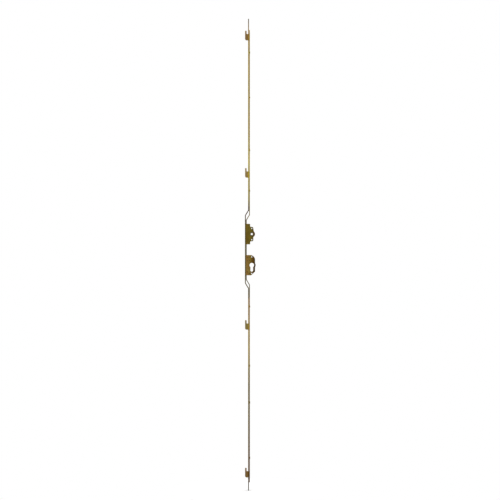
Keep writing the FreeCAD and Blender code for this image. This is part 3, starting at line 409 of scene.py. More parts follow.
def yellow_zinc(name, tints, drift, film=0.2, roughness=0.36, grain=("UV", 0.02)):
    """Mild steel, electroplated with zinc and passivated yellow. tints are the film's colours from one end to
    the other of drift, (axis, low, high). film is how strongly its clouds show. grain names the coordinates
    that the rolling or drawing marks follow and how much these are drawn out.
    """
    material = bpy.data.materials.new(name)
    material.use_nodes = True
    tree = material.node_tree
    shader = tree.nodes["Principled BSDF"]
    coordinates = add(tree, "TexCoord")
    place = coordinates.outputs["Object"]
    axis, low, high = drift[0], MM * drift[1], MM * drift[2]

    # The tint drifts along the piece and wanders a little with the clouds.
    clouds = noise(tree, place, CLOUD, 3.0, Roughness=0.5)
    along_part = add(tree, "SeparateXYZ", {"Vector": place}).outputs[axis]
    reach = 0.05 * (high - low)
    share = fitted(tree, moved(tree, along_part, clouds, reach), (low + reach / 2, high + reach / 2))
    base = gradient(tree, share, tints)

    # The film shows within the clouds, and more strongly in some patches than in others.
    turn = add(tree, "Math", {0: product(tree, clouds, FILM_TURNS), 1: 1.0}, operation="PINGPONG")
    film_tint = gradient(tree, turn.outputs[0], FILM_TINTS)
    patches = noise(tree, place, PATCH, Distortion=0.8)
    strength = fitted(tree, patches, (0.35, 0.65), (0.4 * film, 1.6 * film))
    clouded = add(tree, "Mix", {0: strength, 6: base, 7: film_tint}, data_type="RGBA", blend_type="COLOR")

    # Marks and zinc crystals lie under the film and give a satin sheen.
    drawn = add(tree, "Mapping", {"Vector": coordinates.outputs[grain[0]], "Scale": (1.0, grain[1], 1.0)})
    marks = noise(tree, drawn.outputs["Vector"], ROLLING_MARK)
    crystals = noise(tree, place, ZINC_CRYSTAL, 1.0)
    fine = product(tree, fitted(tree, marks, MOST_NOISE, (0.88, 1.1)),
                   fitted(tree, crystals, MOST_NOISE, (0.93, 1.06)))
    shade = product(tree, fine, fitted(tree, patches, MOST_NOISE, (0.84, 1.12)))
    tree.links.new(shaded(tree, clouded.outputs[2], shade), shader.inputs["Base Color"])
    shader.inputs["Metallic"].default_value = 1.0
    rough = fitted(tree, marks, MOST_NOISE, (roughness - 0.06, roughness + 0.08))
    tree.links.new(rough, shader.inputs["Roughness"])
    bump = add(tree, "Bump", {"Height": marks, "Strength": 0.12, "Distance": 0.04 * MM})
    tree.links.new(bump.outputs["Normal"], shader.inputs["Normal"])
    return material


def sheared(material, thickness):
    """Turns a sheet's finish into that of its cut edge, whose UV runs round the sheet and into its depth. The
    first half of the thickness is burnished by the blade and catches a thin bright line. The rest is torn and
    duller.
    """
    tree = material.node_tree
    shader = tree.nodes["Principled BSDF"]
    place = add(tree, "TexCoord").outputs["UV"]
    depth = add(tree, "SeparateXYZ", {"Vector": place}).outputs["Y"]
    dragged = add(tree, "Mapping", {"Vector": place, "Scale": (1.0, 0.06, 1.0)})
    drag = noise(tree, dragged.outputs["Vector"], DRAG_MARK)
    grains = noise(tree, place, TORN_GRAIN)
    torn = fitted(tree, moved(tree, depth, drag, 0.4 * MM * thickness),
                  (0.55 * MM * thickness, 0.65 * MM * thickness))
    height = add(tree, "Mix", {0: torn, 2: drag, 3: grains}).outputs[0]
    shade = product(tree, fitted(tree, torn, (0.0, 1.0), (1.06, 0.78)),
                    fitted(tree, height, MOST_NOISE, (0.85, 1.1)))
    plated = shader.inputs["Base Color"].links[0].from_socket
    tree.links.new(shaded(tree, plated, shade), shader.inputs["Base Color"])
    tree.links.new(fitted(tree, torn, (0.0, 1.0), (0.3, 0.5)), shader.inputs["Roughness"])
    bump = add(tree, "Bump", {"Height": height, "Strength": 0.3, "Distance": 0.06 * MM})
    tree.links.new(bump.outputs["Normal"], shader.inputs["Normal"])
    return material


def plated_sheet(name, tints, drift, thickness, **finish):
    """The finishes of a plated sheet, that of its faces and that of its cut edges."""
    return [yellow_zinc(name, tints, drift, **finish),
            sheared(yellow_zinc(name + "_edge", tints, drift, **finish), thickness)]


SHARP_ANGLE = math.radians(50)


def finished(name, mesh_parts, body, materials, nodes):
    """Makes one piece of bmesh parts drawn in millimetres, and puts it in place of its CAD nodes."""
    data = bpy.data.meshes.new(name)
    whole = bmesh.new()
    for part in mesh_parts:
        part.to_mesh(data)
        whole.from_mesh(data)
        part.free()
    bmesh.ops.scale(whole, vec=(MM, MM, MM), verts=whole.verts)
    bmesh.ops.recalc_face_normals(whole, faces=whole.faces)
    whole.to_mesh(data)
    whole.free()
    data.shade_smooth()
    data.set_sharp_from_angle(angle=SHARP_ANGLE)
    piece = bpy.data.objects.new(name, data)
    bpy.context.scene.collection.objects.link(piece)
    for material in materials:
        data.materials.append(material)
    weighted = piece.modifiers.new("flat faces stay flat", "WEIGHTED_NORMAL")
    weighted.keep_sharp = True
    weighted.use_face_influence = True
    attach(piece, body)
    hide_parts(*nodes)


faceplate_tints = [
    (0.0, GREY), (0.05, ROSE), (0.16, OLIVE_GOLD), (0.22, OLIVE_GOLD), (0.30, STRAW), (0.41, BROWN),
    (0.43, OLIVE), (0.57, OLIVE), (0.58, RUST), (0.60, RUST), (0.62, GREEN_GOLD), (0.70, PALE_STRAW),
    (0.75, DEEP_GOLD), (0.90, DEEP_GOLD), (0.975, BROWN), (1.0, GREY)]
strip_drift = ("Z", FACEPLATE_ENDS[0], FACEPLATE_ENDS[1])
faceplate_zinc = plated_sheet("yellow_passivated_faceplate", faceplate_tints, strip_drift,
                              FACEPLATE_THICKNESS)
finished("faceplate_strip", [faceplate_sheet], "case", faceplate_zinc,
         ["faceplate"])

# Drive bar. A 12 mm wide strip of 3 mm steel, made and plated like the faceplate, that slides up and down
# behind it on eight rivets. Its joggles are set off from the faceplate's, so that it clears them when it
# rises, and long slots clear the screws and rivets.
BAR_GAP = 0.3
BAR_THICKNESS = 3.0
BAR_WIDTH = 12.0
BAR_ENDS = (-943.0, 775.6)
BAR_JOGGLES = (-183.2, 63.5)
BAR_CHAMFER = 3.0
BAR_CORNER = 0.5
BAR_FRONT_MIDDLE = FRONT_MIDDLE + FACEPLATE_THICKNESS + BAR_GAP
BAR_FRONT_OUTER = FRONT_OUTER + FACEPLATE_THICKNESS + BAR_GAP
BAR_BACK_OUTER = BAR_FRONT_OUTER + BAR_THICKNESS
FIXING_SLOT_WIDTH = 6.0
RIVET_GAP = 0.2
HOOK_SCREW_OFFSETS = (-13.0, -1.0)
HOOK_SCREW_RADIUS = 2.0
HOOK_SCREW_HEAD_RADIUS = 3.8
GEAR_MODULE = 1.25
TOOTH_PITCH = math.pi * GEAR_MODULE
RACK_TEETH_BELOW = 5
RACK_SCREW_INSET = 0.4
RACK_SCREW_HEIGHTS = (-RACK_TEETH_BELOW * TOOTH_PITCH + RACK_SCREW_INSET,
                      TOOTH_PITCH - RACK_SCREW_INSET)
RACK_SCREW_RADIUS = 1.5
RACK_SCREW_HEAD_RADIUS = 2.9
BLOCK_Z = -94.0
WINDOW_HEIGHTS = (BLOCK_Z, BLOCK_Z - BAR_TRAVEL)
WINDOW_HALF_WIDTH = 3.3
WINDOW_HALF_HEIGHT = 4.4
WINDOW_CORNER = 0.4

bar_line = joggled_line(BAR_ENDS, BAR_JOGGLES, BAR_FRONT_OUTER, BAR_FRONT_MIDDLE, BAR_THICKNESS)
bar_rim = plain_rim(BAR_THICKNESS, SLOT_EDGE)


def travel_slots(heights, radius, sides=ROUND_SIDES):
    """Slots with round ends that clear what stands still at some heights while the bar rises past it."""
    slots = []
    for height in heights:
        points = []
        for i in range(sides):
            angle = math.pi * (i + 0.5) / (sides / 2)
            end = along(bar_line, height if angle < math.pi else height - BAR_TRAVEL)
            points.append((radius * math.cos(angle), end + radius * math.sin(angle)))
        slots.append((points, bar_rim))
    return slots


bar_fixings = [height for height in FIXING_HEIGHTS + CYLINDER_SCREW_HEIGHTS
               if BAR_ENDS[0] < height < BAR_ENDS[1]]
hook_screw_heights = [centre + offset
                      for centre in HOOK_HEIGHTS.values() for offset in HOOK_SCREW_OFFSETS]
bar_holes = travel_slots(bar_fixings, FIXING_SLOT_WIDTH / 2)
bar_holes += travel_slots(RIVET_HEIGHTS, RIVET_RADIUS + RIVET_GAP)
bar_holes += countersunk(bar_line, hook_screw_heights, HOOK_SCREW_RADIUS, HOOK_SCREW_HEAD_RADIUS,
                         BAR_THICKNESS, SNUG_EDGE, SMALL_SIDES, from_back=True)
bar_holes += countersunk(bar_line, RACK_SCREW_HEIGHTS, RACK_SCREW_RADIUS, RACK_SCREW_HEAD_RADIUS,
                         BAR_THICKNESS, SNUG_EDGE, SMALL_SIDES)
for height in WINDOW_HEIGHTS:
    middle = along(bar_line, height)
    window = block((-WINDOW_HALF_WIDTH, WINDOW_HALF_WIDTH),
                   (middle - WINDOW_HALF_HEIGHT, middle + WINDOW_HALF_HEIGHT), WINDOW_CORNER)
    bar_holes.append((window, bar_rim))
bar_half = BAR_WIDTH / 2
bar_end = bar_line[-1][0]
bar_outline = rounded([(x, y, BAR_CORNER) for x, y in (
    (-bar_half + BAR_CHAMFER, 0), (bar_half - BAR_CHAMFER, 0),
    (bar_half, BAR_CHAMFER), (bar_half, bar_end - BAR_CHAMFER),
    (bar_half - BAR_CHAMFER, bar_end), (-bar_half + BAR_CHAMFER, bar_end),
    (-bar_half, bar_end - BAR_CHAMFER), (-bar_half, BAR_CHAMFER))])
bar_sheet = pierced_sheet(bar_outline, bar_holes, BAR_THICKNESS, SHEARED_EDGE)
joggle(bar_sheet, bar_line)

# Its tints drift much as the faceplate's do, with stronger clouds and less shine.
bar_tints = [
    (0.0, ROSE), (0.12, ROSE), (0.18, OLIVE_GOLD), (0.23, OLIVE_GOLD), (0.30, STRAW), (0.41, BROWN),
    (0.43, OLIVE), (0.55, OLIVE), (0.57, RUST), (0.585, OLIVE_GOLD), (0.62, GREEN_GOLD),
    (0.70, PALE_STRAW), (0.75, DEEP_GOLD), (0.90, DEEP_GOLD), (1.0, STRAW)]
bar_zinc = plated_sheet("yellow_passivated_drive_bar", bar_tints, strip_drift, BAR_THICKNESS,
                        film=0.28, roughness=0.4)
finished("drive_bar_strip", [bar_sheet], "drive_bar", bar_zinc, ["drive_bar"])

# Hooks. Four equal blanks of 8 mm steel, fine-blanked and tumbled, so their edges are softly rounded. Each
# stands on the bar and reaches through the faceplate. They are plated apart from the strips and come out
# browner, and after tumbling they have no grain and shine a little more.
HOOK_PROJECTION = 11.5
HOOK_FRONT = FRONT_OUTER - HOOK_PROJECTION
HOOK_FINGER = 5.8
HOOK_FLOOR_FALL = 0.7
HOOK_HEEL_RADIUS = 6.0
HOOK_TIP_RADIUS = 2.2
HOOK_THROAT_RADIUS = 2.0
HOOK_EDGE = 0.6


def across(sheet, y):
    """Stands a sheet drawn as (x, z, depth) upright, with its front at y."""
    for vert in sheet.verts:
        x, z, depth = vert.co
        vert.co = (x, y + depth, z)


hook_zinc = yellow_zinc("yellow_passivated_tumbled_hook",
                        [(0.0, "#a07850"), (0.35, "#ae9a62"), (0.65, "#b89c68"), (1.0, "#9c7a52")],
                        strip_drift, roughness=0.34, grain=("Object", 1.0))
for name, centre in HOOK_HEIGHTS.items():
    low = centre - HOOK_HEIGHT / 2
    high = centre + HOOK_HEIGHT / 2
    throat = high - HOOK_THROAT_DEPTH
    hook_outline = rounded([
        (HOOK_FRONT, low, HOOK_HEEL_RADIUS),
        (BAR_FRONT_OUTER, low, 0),
        (BAR_FRONT_OUTER, throat - HOOK_FLOOR_FALL, 0),
        (HOOK_FRONT + HOOK_FINGER, throat, HOOK_THROAT_RADIUS),
        (HOOK_FRONT + HOOK_FINGER, high, HOOK_TIP_RADIUS),
        (HOOK_FRONT, high, HOOK_TIP_RADIUS)])
    hook = pierced_sheet(hook_outline, [], HOOK_THICKNESS, HOOK_EDGE)
    across(hook, -HOOK_THICKNESS / 2)
    finished(name + "_blank", [hook], "drive_bar", [hook_zinc, hook_zinc], [name])

# Screws and rivets. The hooks and the rack are held by countersunk socket screws, the bar by flush rivets
# with low round heads behind it. They are turned or headed from wire and plated in a barrel, so they are
# brighter than the strips.
HOOK_SCREW_DEPTH = 8.0
RACK_SCREW_DEPTH = 5.0
SOCKET_ACROSS = 2.5
SOCKET_DEPTH = 1.4
SOCKET_CHAMFER = 0.1
CONE_RADIUS = 0.4
CONE_DEPTH = 0.3
HEAD_BREAK = 0.1
TIP_CHAMFER = 0.5
RIVET_DISH = 0.08
RIVET_HEAD_RADIUS = 4.25
RIVET_HEAD_THICKNESS = 1.0


def hexagon(across_flats, sides=SMALL_SIDES):
    """A hexagonal outline with the same number of points as a round one."""
    points = []
    for i in range(sides):
        angle = 2 * math.pi * (i + 0.5) / sides
        from_flat = (angle + math.pi / 6) % (math.pi / 3) - math.pi / 6
        radius = across_flats / 2 / math.cos(from_flat)
        points.append((radius * math.cos(angle), radius * math.sin(angle)))
    return points


def turned_rings(profile, sides=SMALL_SIDES):
    """The rings of a turned or headed body whose profile is (radius, distance along its axis)."""
    return [(circle(0, 0, radius, sides), along_axis) for radius, along_axis in profile]


def ring_stack(rings, hollow=False):
    """A body through rings, each (outline, distance along its axis). A hollow one closes on itself."""
    body = bmesh.new()
    rows = [[body.verts.new((x, y, along_axis)) for x, y in outline] for outline, along_axis in rings]
    pairs = list(zip(rows, rows[1:])) + ([(rows[-1], rows[0])] if hollow else [])
    for upper, lower in pairs:
        for i in range(len(upper)):
            body.faces.new((upper[i - 1], upper[i], lower[i], lower[i - 1]))
    if not hollow:
        body.faces.new(rows[0])
        body.faces.new(rows[-1])
    bmesh.ops.recalc_face_normals(body, faces=body.faces)
    return body


def lie_along_x(body, start, way, z):
    """Turns a body drawn along its own axis to lie along X, from start onwards, at height z."""
    for vert in body.verts:
        x, y, distance = vert.co
        vert.co = (start + way * distance, x, z + y)
    return body


def socket_screws(heights, start, way, head_radius, radius, depth):
    """Equal countersunk screws, each with a hexagon socket over a drilled cone. They start flush with a face
    of the bar, go through it and reach some depth into what it holds.
    """
    length = BAR_THICKNESS + depth
    rings = turned_rings([(CONE_RADIUS, SOCKET_DEPTH + CONE_DEPTH)])
    rings += [(hexagon(SOCKET_ACROSS), SOCKET_DEPTH), (hexagon(SOCKET_ACROSS), SOCKET_CHAMFER),
              (hexagon(SOCKET_ACROSS + 2 * SOCKET_CHAMFER), 0.0)]
    rings += turned_rings([
        (head_radius - 2 * HEAD_BREAK, 0.0), (head_radius, HEAD_BREAK), (radius, head_radius - radius),
        (radius, length - TIP_CHAMFER), (radius - TIP_CHAMFER, length)])
    return [lie_along_x(ring_stack(rings), start, way, height) for height in heights]


fastener_zinc = yellow_zinc("yellow_passivated_fastener",
                            [(0.0, "#9c8a48"), (0.5, "#ac9a5c"), (1.0, "#908b56")],
                            strip_drift, film=0.3, roughness=0.3, grain=("Object", 1.0))
hook_screws = socket_screws(hook_screw_heights, BAR_BACK_OUTER, -1,
                            HOOK_SCREW_HEAD_RADIUS, HOOK_SCREW_RADIUS, HOOK_SCREW_DEPTH)
finished("hook_socket_screws", hook_screws, "drive_bar", [fastener_zinc],
         ["hook_screws"])
rack_screws = socket_screws(RACK_SCREW_HEIGHTS, BAR_FRONT_MIDDLE, 1,
                            RACK_SCREW_HEAD_RADIUS, RACK_SCREW_RADIUS, RACK_SCREW_DEPTH)
finished("rack_socket_screws", rack_screws, "drive_bar", [fastener_zinc],
         ["rack_screws"])

# A rivet's flush front is left a little dished by the riveting tool.
rivet_reach = BAR_BACK_OUTER + RIVET_GAP - FRONT_OUTER
rivet_rings = turned_rings([
    (RIVET_FRONT_RADIUS * 0.3, RIVET_DISH), (RIVET_FRONT_RADIUS * 0.75, RIVET_DISH / 4),
    (RIVET_FRONT_RADIUS, 0.0), (RIVET_RADIUS, RIVET_FRONT_RADIUS - RIVET_RADIUS),
    (RIVET_RADIUS, rivet_reach), (RIVET_HEAD_RADIUS - HEAD_BREAK, rivet_reach),
    (RIVET_HEAD_RADIUS, rivet_reach + HEAD_BREAK),
    (RIVET_HEAD_RADIUS, rivet_reach + 0.5 * RIVET_HEAD_THICKNESS),
    (RIVET_HEAD_RADIUS * 0.85, rivet_reach + 0.8 * RIVET_HEAD_THICKNESS),
    (RIVET_HEAD_RADIUS * 0.5, rivet_reach + RIVET_HEAD_THICKNESS)])
rivets = [lie_along_x(ring_stack(rivet_rings), FRONT_OUTER, 1, height) for height in RIVET_HEIGHTS]
finished("bar_guide_rivets", rivets, "case", [fastener_zinc], ["guide_rivets"])

# Gearbox plates. Two plates pressed from 1.5 mm sheet, one on each side, with tabs riveted through the
# faceplate. They have ears for the pillars, a boss for each handle screw and a round lobe about the follower.
# The plating is olive brown and duller than on the strips. Towards the far edge the tint turns darker and
# browner, as painted shade of that edge.
PLATE_EDGE = 0.18
BACK_MIDDLE = FRONT_MIDDLE + FACEPLATE_THICKNESS
GEARBOX_HALF_HEIGHT = 39.0
GEARBOX_EAR_X = -6.1
GEARBOX_EAR_CORNER = 2.75
GEARBOX_STEP_RADIUS = 3.0
GEARBOX_BODY_HALF_HEIGHT = 27.5
GEARBOX_BODY_X = 5.9
GEARBOX_BOSS_RADIUS = 5.6
GEARBOX_SLANT_X = 7.6
GEARBOX_SLANT_TOP_X = 5.1
GEARBOX_SLANT_RADIUS = 5.2
GEARBOX_LOBE_RADIUS = 12.3
GEARBOX_LOBE_BLEND = 2.0
GEARBOX_PILLARS = ((-11.5, 33.0), (-11.5, -33.0))
HANDLE_SCREWS = ((0.0, 21.5), (0.0, -21.5))
BUSH_TENON_RADIUS = 3.0
PILLAR_TENON_RADIUS = 1.75
JOURNAL_HOLE_RADIUS = 7.56
JOURNAL_HOLE_SIDES = 64


def lobe(centre, radius, start, stop, steps=21):
    """Points on an arc about a centre, from one angle to another in degrees."""
    turns = [math.radians(start + (stop - start) * k / steps) for k in range(steps + 1)]
    return [(centre[0] + radius * math.cos(a), centre[1] + radius * math.sin(a)) for a in turns]


def eased(point, way, centre, lobe_radius, blend, leaving, steps=6):
    """The hollow arc between a straight edge and a round lobe, and the angle where it meets the lobe."""
    out = (way[1], -way[0])
    px = point[0] + blend * out[0] - centre[0]
    pz = point[1] + blend * out[1] - centre[1]
    half = px * way[0] + pz * way[1]
    root = math.sqrt(half * half - px * px - pz * pz + (lobe_radius + blend) ** 2)
    run = -half + (root if leaving else -root)
    cx = px + run * way[0]
    cz = pz + run * way[1]
    on_line = math.atan2(-out[1], -out[0])
    on_lobe = math.atan2(-cz, -cx)
    sweep = (on_lobe - on_line + math.pi) % (2 * math.pi) - math.pi
    turns = [on_line + sweep * k / steps for k in range(steps + 1)]
    arc = [(centre[0] + cx + blend * math.cos(a), centre[1] + cz + blend * math.sin(a)) for a in turns]
    meeting = math.degrees(math.atan2(cz, cx))
    return (arc[::-1] if leaving else arc), meeting


def with_lobe(below, above, centre, lobe_radius, blend, point, way):
    """Joins the points below and above a lobe. point and way give the straight edge above it."""
    low_arc, start = eased(below[-1], (0.0, 1.0), centre, lobe_radius, blend, False)
    high_arc, stop = eased(point, way, centre, lobe_radius, blend, True)
    return below[:-1] + low_arc + lobe(centre, lobe_radius, start, stop)[1:-1] + high_arc + above


def with_tabs(heights, corner_points):
    """Closes a box plate's outline down its left side, with tabs flush with the faceplate's front."""
    points = list(corner_points)
    for height in sorted(heights, reverse=True):
        high = height + TAB_HEIGHT / 2
        low = height - TAB_HEIGHT / 2
        points += [(BACK_MIDDLE, high), (FRONT_MIDDLE, high), (FRONT_MIDDLE, low), (BACK_MIDDLE, low)]
    return points


ears_low = rounded([
    (BACK_MIDDLE, -GEARBOX_HALF_HEIGHT, 0),
    (GEARBOX_EAR_X, -GEARBOX_HALF_HEIGHT, GEARBOX_EAR_CORNER),
    (GEARBOX_EAR_X, -GEARBOX_BODY_HALF_HEIGHT, GEARBOX_STEP_RADIUS),
    (GEARBOX_BODY_X, -GEARBOX_BODY_HALF_HEIGHT, GEARBOX_BOSS_RADIUS),
    (GEARBOX_BODY_X, -GEARBOX_LOBE_RADIUS, 0)])
slant_foot = (GEARBOX_SLANT_X, math.sqrt(GEARBOX_LOBE_RADIUS ** 2 - GEARBOX_SLANT_X ** 2))
slant_top = (GEARBOX_SLANT_TOP_X, GEARBOX_BODY_HALF_HEIGHT)
slant = math.dist(slant_foot, slant_top)
slant_way = ((slant_top[0] - slant_foot[0]) / slant, (slant_top[1] - slant_foot[1]) / slant)
ears_high = rounded([
    (*slant_foot, 0),
    (*slant_top, GEARBOX_SLANT_RADIUS),
    (GEARBOX_EAR_X, GEARBOX_BODY_HALF_HEIGHT, GEARBOX_STEP_RADIUS),
    (GEARBOX_EAR_X, GEARBOX_HALF_HEIGHT, GEARBOX_EAR_CORNER),
    (BACK_MIDDLE, GEARBOX_HALF_HEIGHT, 0)])[1:]
gearbox_outline = with_tabs(GEARBOX_TABS, with_lobe(
    ears_low, ears_high, (0.0, 0.0), GEARBOX_LOBE_RADIUS, GEARBOX_LOBE_BLEND, slant_foot, slant_way))

# The two last stops, darker towards the far edge, are painted shade.
gearbox_tints_and_edge_shade = [(0.0, "#8a6c2c"), (0.2, "#866e2c"), (0.55, "#86762e"), (0.8, "#6e5e28"), (1.0, "#784e1c")]
gearbox_drift = ("X", FRONT_MIDDLE, GEARBOX_LOBE_RADIUS)
gearbox_zinc_and_edge_shade = plated_sheet("yellow_passivated_gearbox_plate_edge_shade", gearbox_tints_and_edge_shade, gearbox_drift, CASE_PLATE,
                            roughness=0.4)
open_rim = plain_rim(CASE_PLATE, PLATE_EDGE)
snug_rim = plain_rim(CASE_PLATE, SNUG_EDGE)
for name, (low, _) in (("gearbox_near_plate", PLATE_NEAR), ("gearbox_far_plate", PLATE_FAR)):
    plate_holes = [(circle(0, 0, JOURNAL_HOLE_RADIUS, JOURNAL_HOLE_SIDES), open_rim)]
    plate_holes += [(circle(x, z, BUSH_TENON_RADIUS), snug_rim) for x, z in HANDLE_SCREWS]
    plate_holes += [(circle(x, z, PILLAR_TENON_RADIUS), snug_rim) for x, z in GEARBOX_PILLARS]
    plate = pierced_sheet(gearbox_outline, plate_holes, CASE_PLATE, PLATE_EDGE)
    across(plate, low)
    finished(name + "_pressing", [plate], "case", gearbox_zinc_and_edge_shade, [name])

# Lock box plates. Pressed like the gearbox plates, with the keyhole-shaped cut-out for a Euro-profile
# cylinder. The near one also holds the rivets of the deadlock's guide blocks. The plating is copper brown
# beside the faceplate, and towards the far edge the tint darkens to near black as painted shade of that edge.
CYLINDER_Z = -118.0
LOCKBOX_HALF_HEIGHT = 38.5
LOCKBOX_X = 12.4
LOCKBOX_TOP_RADIUS = 18.0
LOCKBOX_TOP_STEPS = 16
LOCKBOX_BULGE_RADIUS = 14.5
LOCKBOX_BULGE_BLEND = 8.0
LOCKBOX_CHAMFER_X = -2.5
LOCKBOX_CHAMFER_HEIGHT = -24.5
LOCKBOX_CHAMFER_RADIUS = 4.0
ESCUTCHEON_SCREWS = ((-0.3, CYLINDER_Z + 31.3), (-0.3, CYLINDER_Z - 31.3))
LOCKBOX_PILLARS = ((8.5, CYLINDER_Z + 22.0), (9.0, CYLINDER_Z - 20.0))
EURO_RADIUS = 8.6
EURO_HALF_SLOT = 5.1
EURO_DEPTH = 24.6
EURO_STEPS = 48
EURO_FOOT_STEPS = 16
GUIDE_OFFSET = 6.26
GUIDE_RIVETS = [(x, z) for x in (-16.0, -8.3) for z in (BLOCK_Z - GUIDE_OFFSET, BLOCK_Z + GUIDE_OFFSET)]
GUIDE_RIVET_RADIUS = 1.5
SLIDE_STUD = (-15.6, CYLINDER_Z - 25.2)
UPPER_STUD = (-15.6, CYLINDER_Z + 17.8)
UPPER_STUD_RADIUS = 1.75
SPRING_POST = (-8.4, CYLINDER_Z - 33.0)

lock_low = rounded([
    (BACK_MIDDLE, CYLINDER_Z - LOCKBOX_HALF_HEIGHT, 0),
    (LOCKBOX_CHAMFER_X, CYLINDER_Z - LOCKBOX_HALF_HEIGHT, LOCKBOX_CHAMFER_RADIUS),
    (LOCKBOX_X, CYLINDER_Z + LOCKBOX_CHAMFER_HEIGHT, LOCKBOX_CHAMFER_RADIUS),
    (LOCKBOX_X, CYLINDER_Z - LOCKBOX_BULGE_RADIUS, 0)])
lock_high = rounded([
    (LOCKBOX_X, CYLINDER_Z + LOCKBOX_BULGE_RADIUS, 0),
    (LOCKBOX_X, CYLINDER_Z + LOCKBOX_HALF_HEIGHT, LOCKBOX_TOP_RADIUS),
    (BACK_MIDDLE, CYLINDER_Z + LOCKBOX_HALF_HEIGHT, 0)], LOCKBOX_TOP_STEPS)[1:]
lock_outline = with_tabs(LOCKBOX_TABS, with_lobe(
    lock_low, lock_high, (0.0, CYLINDER_Z), LOCKBOX_BULGE_RADIUS, LOCKBOX_BULGE_BLEND,
    (LOCKBOX_X, CYLINDER_Z), (0.0, 1.0)))
mouth = math.degrees(math.asin(EURO_HALF_SLOT / EURO_RADIUS))
euro_foot = CYLINDER_Z - EURO_DEPTH + EURO_HALF_SLOT
euro_outline = (lobe((0, CYLINDER_Z), EURO_RADIUS, -90 + mouth, 270 - mouth, EURO_STEPS)
                + lobe((0, euro_foot), EURO_HALF_SLOT, 180, 360, EURO_FOOT_STEPS))

# The two last stops, darkening to near black at the far edge, are painted shade.
lock_box_tints_and_edge_shade = [(0.0, "#a87c48"), (0.25, "#a88248"), (0.5, "#98803c"), (0.72, "#785420"), (1.0, "#3e2c0c")]
lock_box_drift = ("X", FRONT_MIDDLE, LOCKBOX_BULGE_RADIUS)
lock_box_zinc_and_edge_shade = plated_sheet("yellow_passivated_lock_box_plate_edge_shade", lock_box_tints_and_edge_shade, lock_box_drift,
                             CASE_PLATE, roughness=0.4)
for name, (low, _), own_holes, own_radius in (
    ("lock_near_plate", PLATE_NEAR, GUIDE_RIVETS, GUIDE_RIVET_RADIUS),
    ("lock_far_plate", PLATE_FAR, [UPPER_STUD], UPPER_STUD_RADIUS),
):
    tenons = [*LOCKBOX_PILLARS, SLIDE_STUD, SPRING_POST]
    plate_holes = [(euro_outline, open_rim)]
    plate_holes += [(circle(x, z, BUSH_TENON_RADIUS), snug_rim) for x, z in ESCUTCHEON_SCREWS]
    plate_holes += [(circle(x, z, PILLAR_TENON_RADIUS), snug_rim) for x, z in tenons]
    plate_holes += [(circle(x, z, own_radius, SMALL_SIDES), snug_rim) for x, z in own_holes]
    plate = pierced_sheet(lock_outline, plate_holes, CASE_PLATE, PLATE_EDGE)
    across(plate, low)
    finished(name + "_pressing", [plate], "case", lock_box_zinc_and_edge_shade, [name])

# Bushes and pillars. Turned from steel bar, with a tenon at each end that is riveted flush into the plates.
# The bushes are threaded M5 for the handle's screws. They are plated in a barrel and oiled, so they are
# darker and greyer than the plates. Their shared tint is darker still, as painted shade of the holes in
# the plates where their ends show.
BUSH_RADIUS = 3.6
BUSH_CORE_RADIUS = 2.1
BUSH_BREAK = 0.1
THREAD_PITCH = 0.8
THREAD_DEPTH = 0.35
PILLAR_RADIUS = 2.5
PILLAR_BREAK = 0.15
SPRING_POST_RADIUS = 2.0
TENON_BREAK = 0.05
PUNCH_RADIUS = 0.9
PUNCH_FOOT_RADIUS = 0.5
PUNCH_DEPTH = 0.15

# Its dark tint is partly oil on the zinc and partly painted shade of the holes where the bushes and pillar
# ends show.
oiled_and_shade_darkened_zinc = yellow_zinc("oiled_zinc_turned_steel", [(0.0, "#4c483a"), (0.5, "#565240"), (1.0, "#4a4636")],
                         lock_box_drift, film=0.12, roughness=0.32, grain=("Object", 0.05))


def mirrored(profile):
    """A whole profile from the half of it that runs from its lower end to its middle."""
    return profile + [(radius, -along_axis) for radius, along_axis in reversed(profile)]


def lie_along_y(body, x, z):
    """Turns a body drawn along its own axis to lie along Y at a place."""
    for vert in body.verts:
        u, v, distance = vert.co
        vert.co = (x + u, distance, z + v)
    return body


def threaded_bush(x, z):
    """A shouldered bush with its thread cut as rings at the thread's pitch."""
    profile = mirrored([
        (BUSH_TENON_RADIUS - BUSH_BREAK, -CASE_OUTER), (BUSH_TENON_RADIUS, -CASE_OUTER + BUSH_BREAK),
        (BUSH_TENON_RADIUS, -CASE_INNER), (BUSH_RADIUS, -CASE_INNER)])
    turns = int((2 * CASE_OUTER - THREAD_PITCH) / THREAD_PITCH)
    for i in range(turns, -1, -1):
        at = (i - turns / 2) * THREAD_PITCH
        profile += [(BUSH_CORE_RADIUS + THREAD_DEPTH, at + THREAD_PITCH / 4),
                    (BUSH_CORE_RADIUS, at - THREAD_PITCH / 4)]
    return lie_along_y(ring_stack(turned_rings(profile, ROUND_SIDES), hollow=True), x, z)


def pillar(x, z, radius=PILLAR_RADIUS):
    """A shouldered pillar with upset ends, each with the small dimple of the riveting punch."""
    profile = mirrored([
        (PUNCH_FOOT_RADIUS, -CASE_OUTER + PUNCH_DEPTH), (PUNCH_RADIUS, -CASE_OUTER),
        (PILLAR_TENON_RADIUS - TENON_BREAK, -CASE_OUTER), (PILLAR_TENON_RADIUS, -CASE_INNER),
        (radius - PILLAR_BREAK, -CASE_INNER), (radius, -CASE_INNER + PILLAR_BREAK)])
    return lie_along_y(ring_stack(turned_rings(profile, ROUND_SIDES)), x, z)


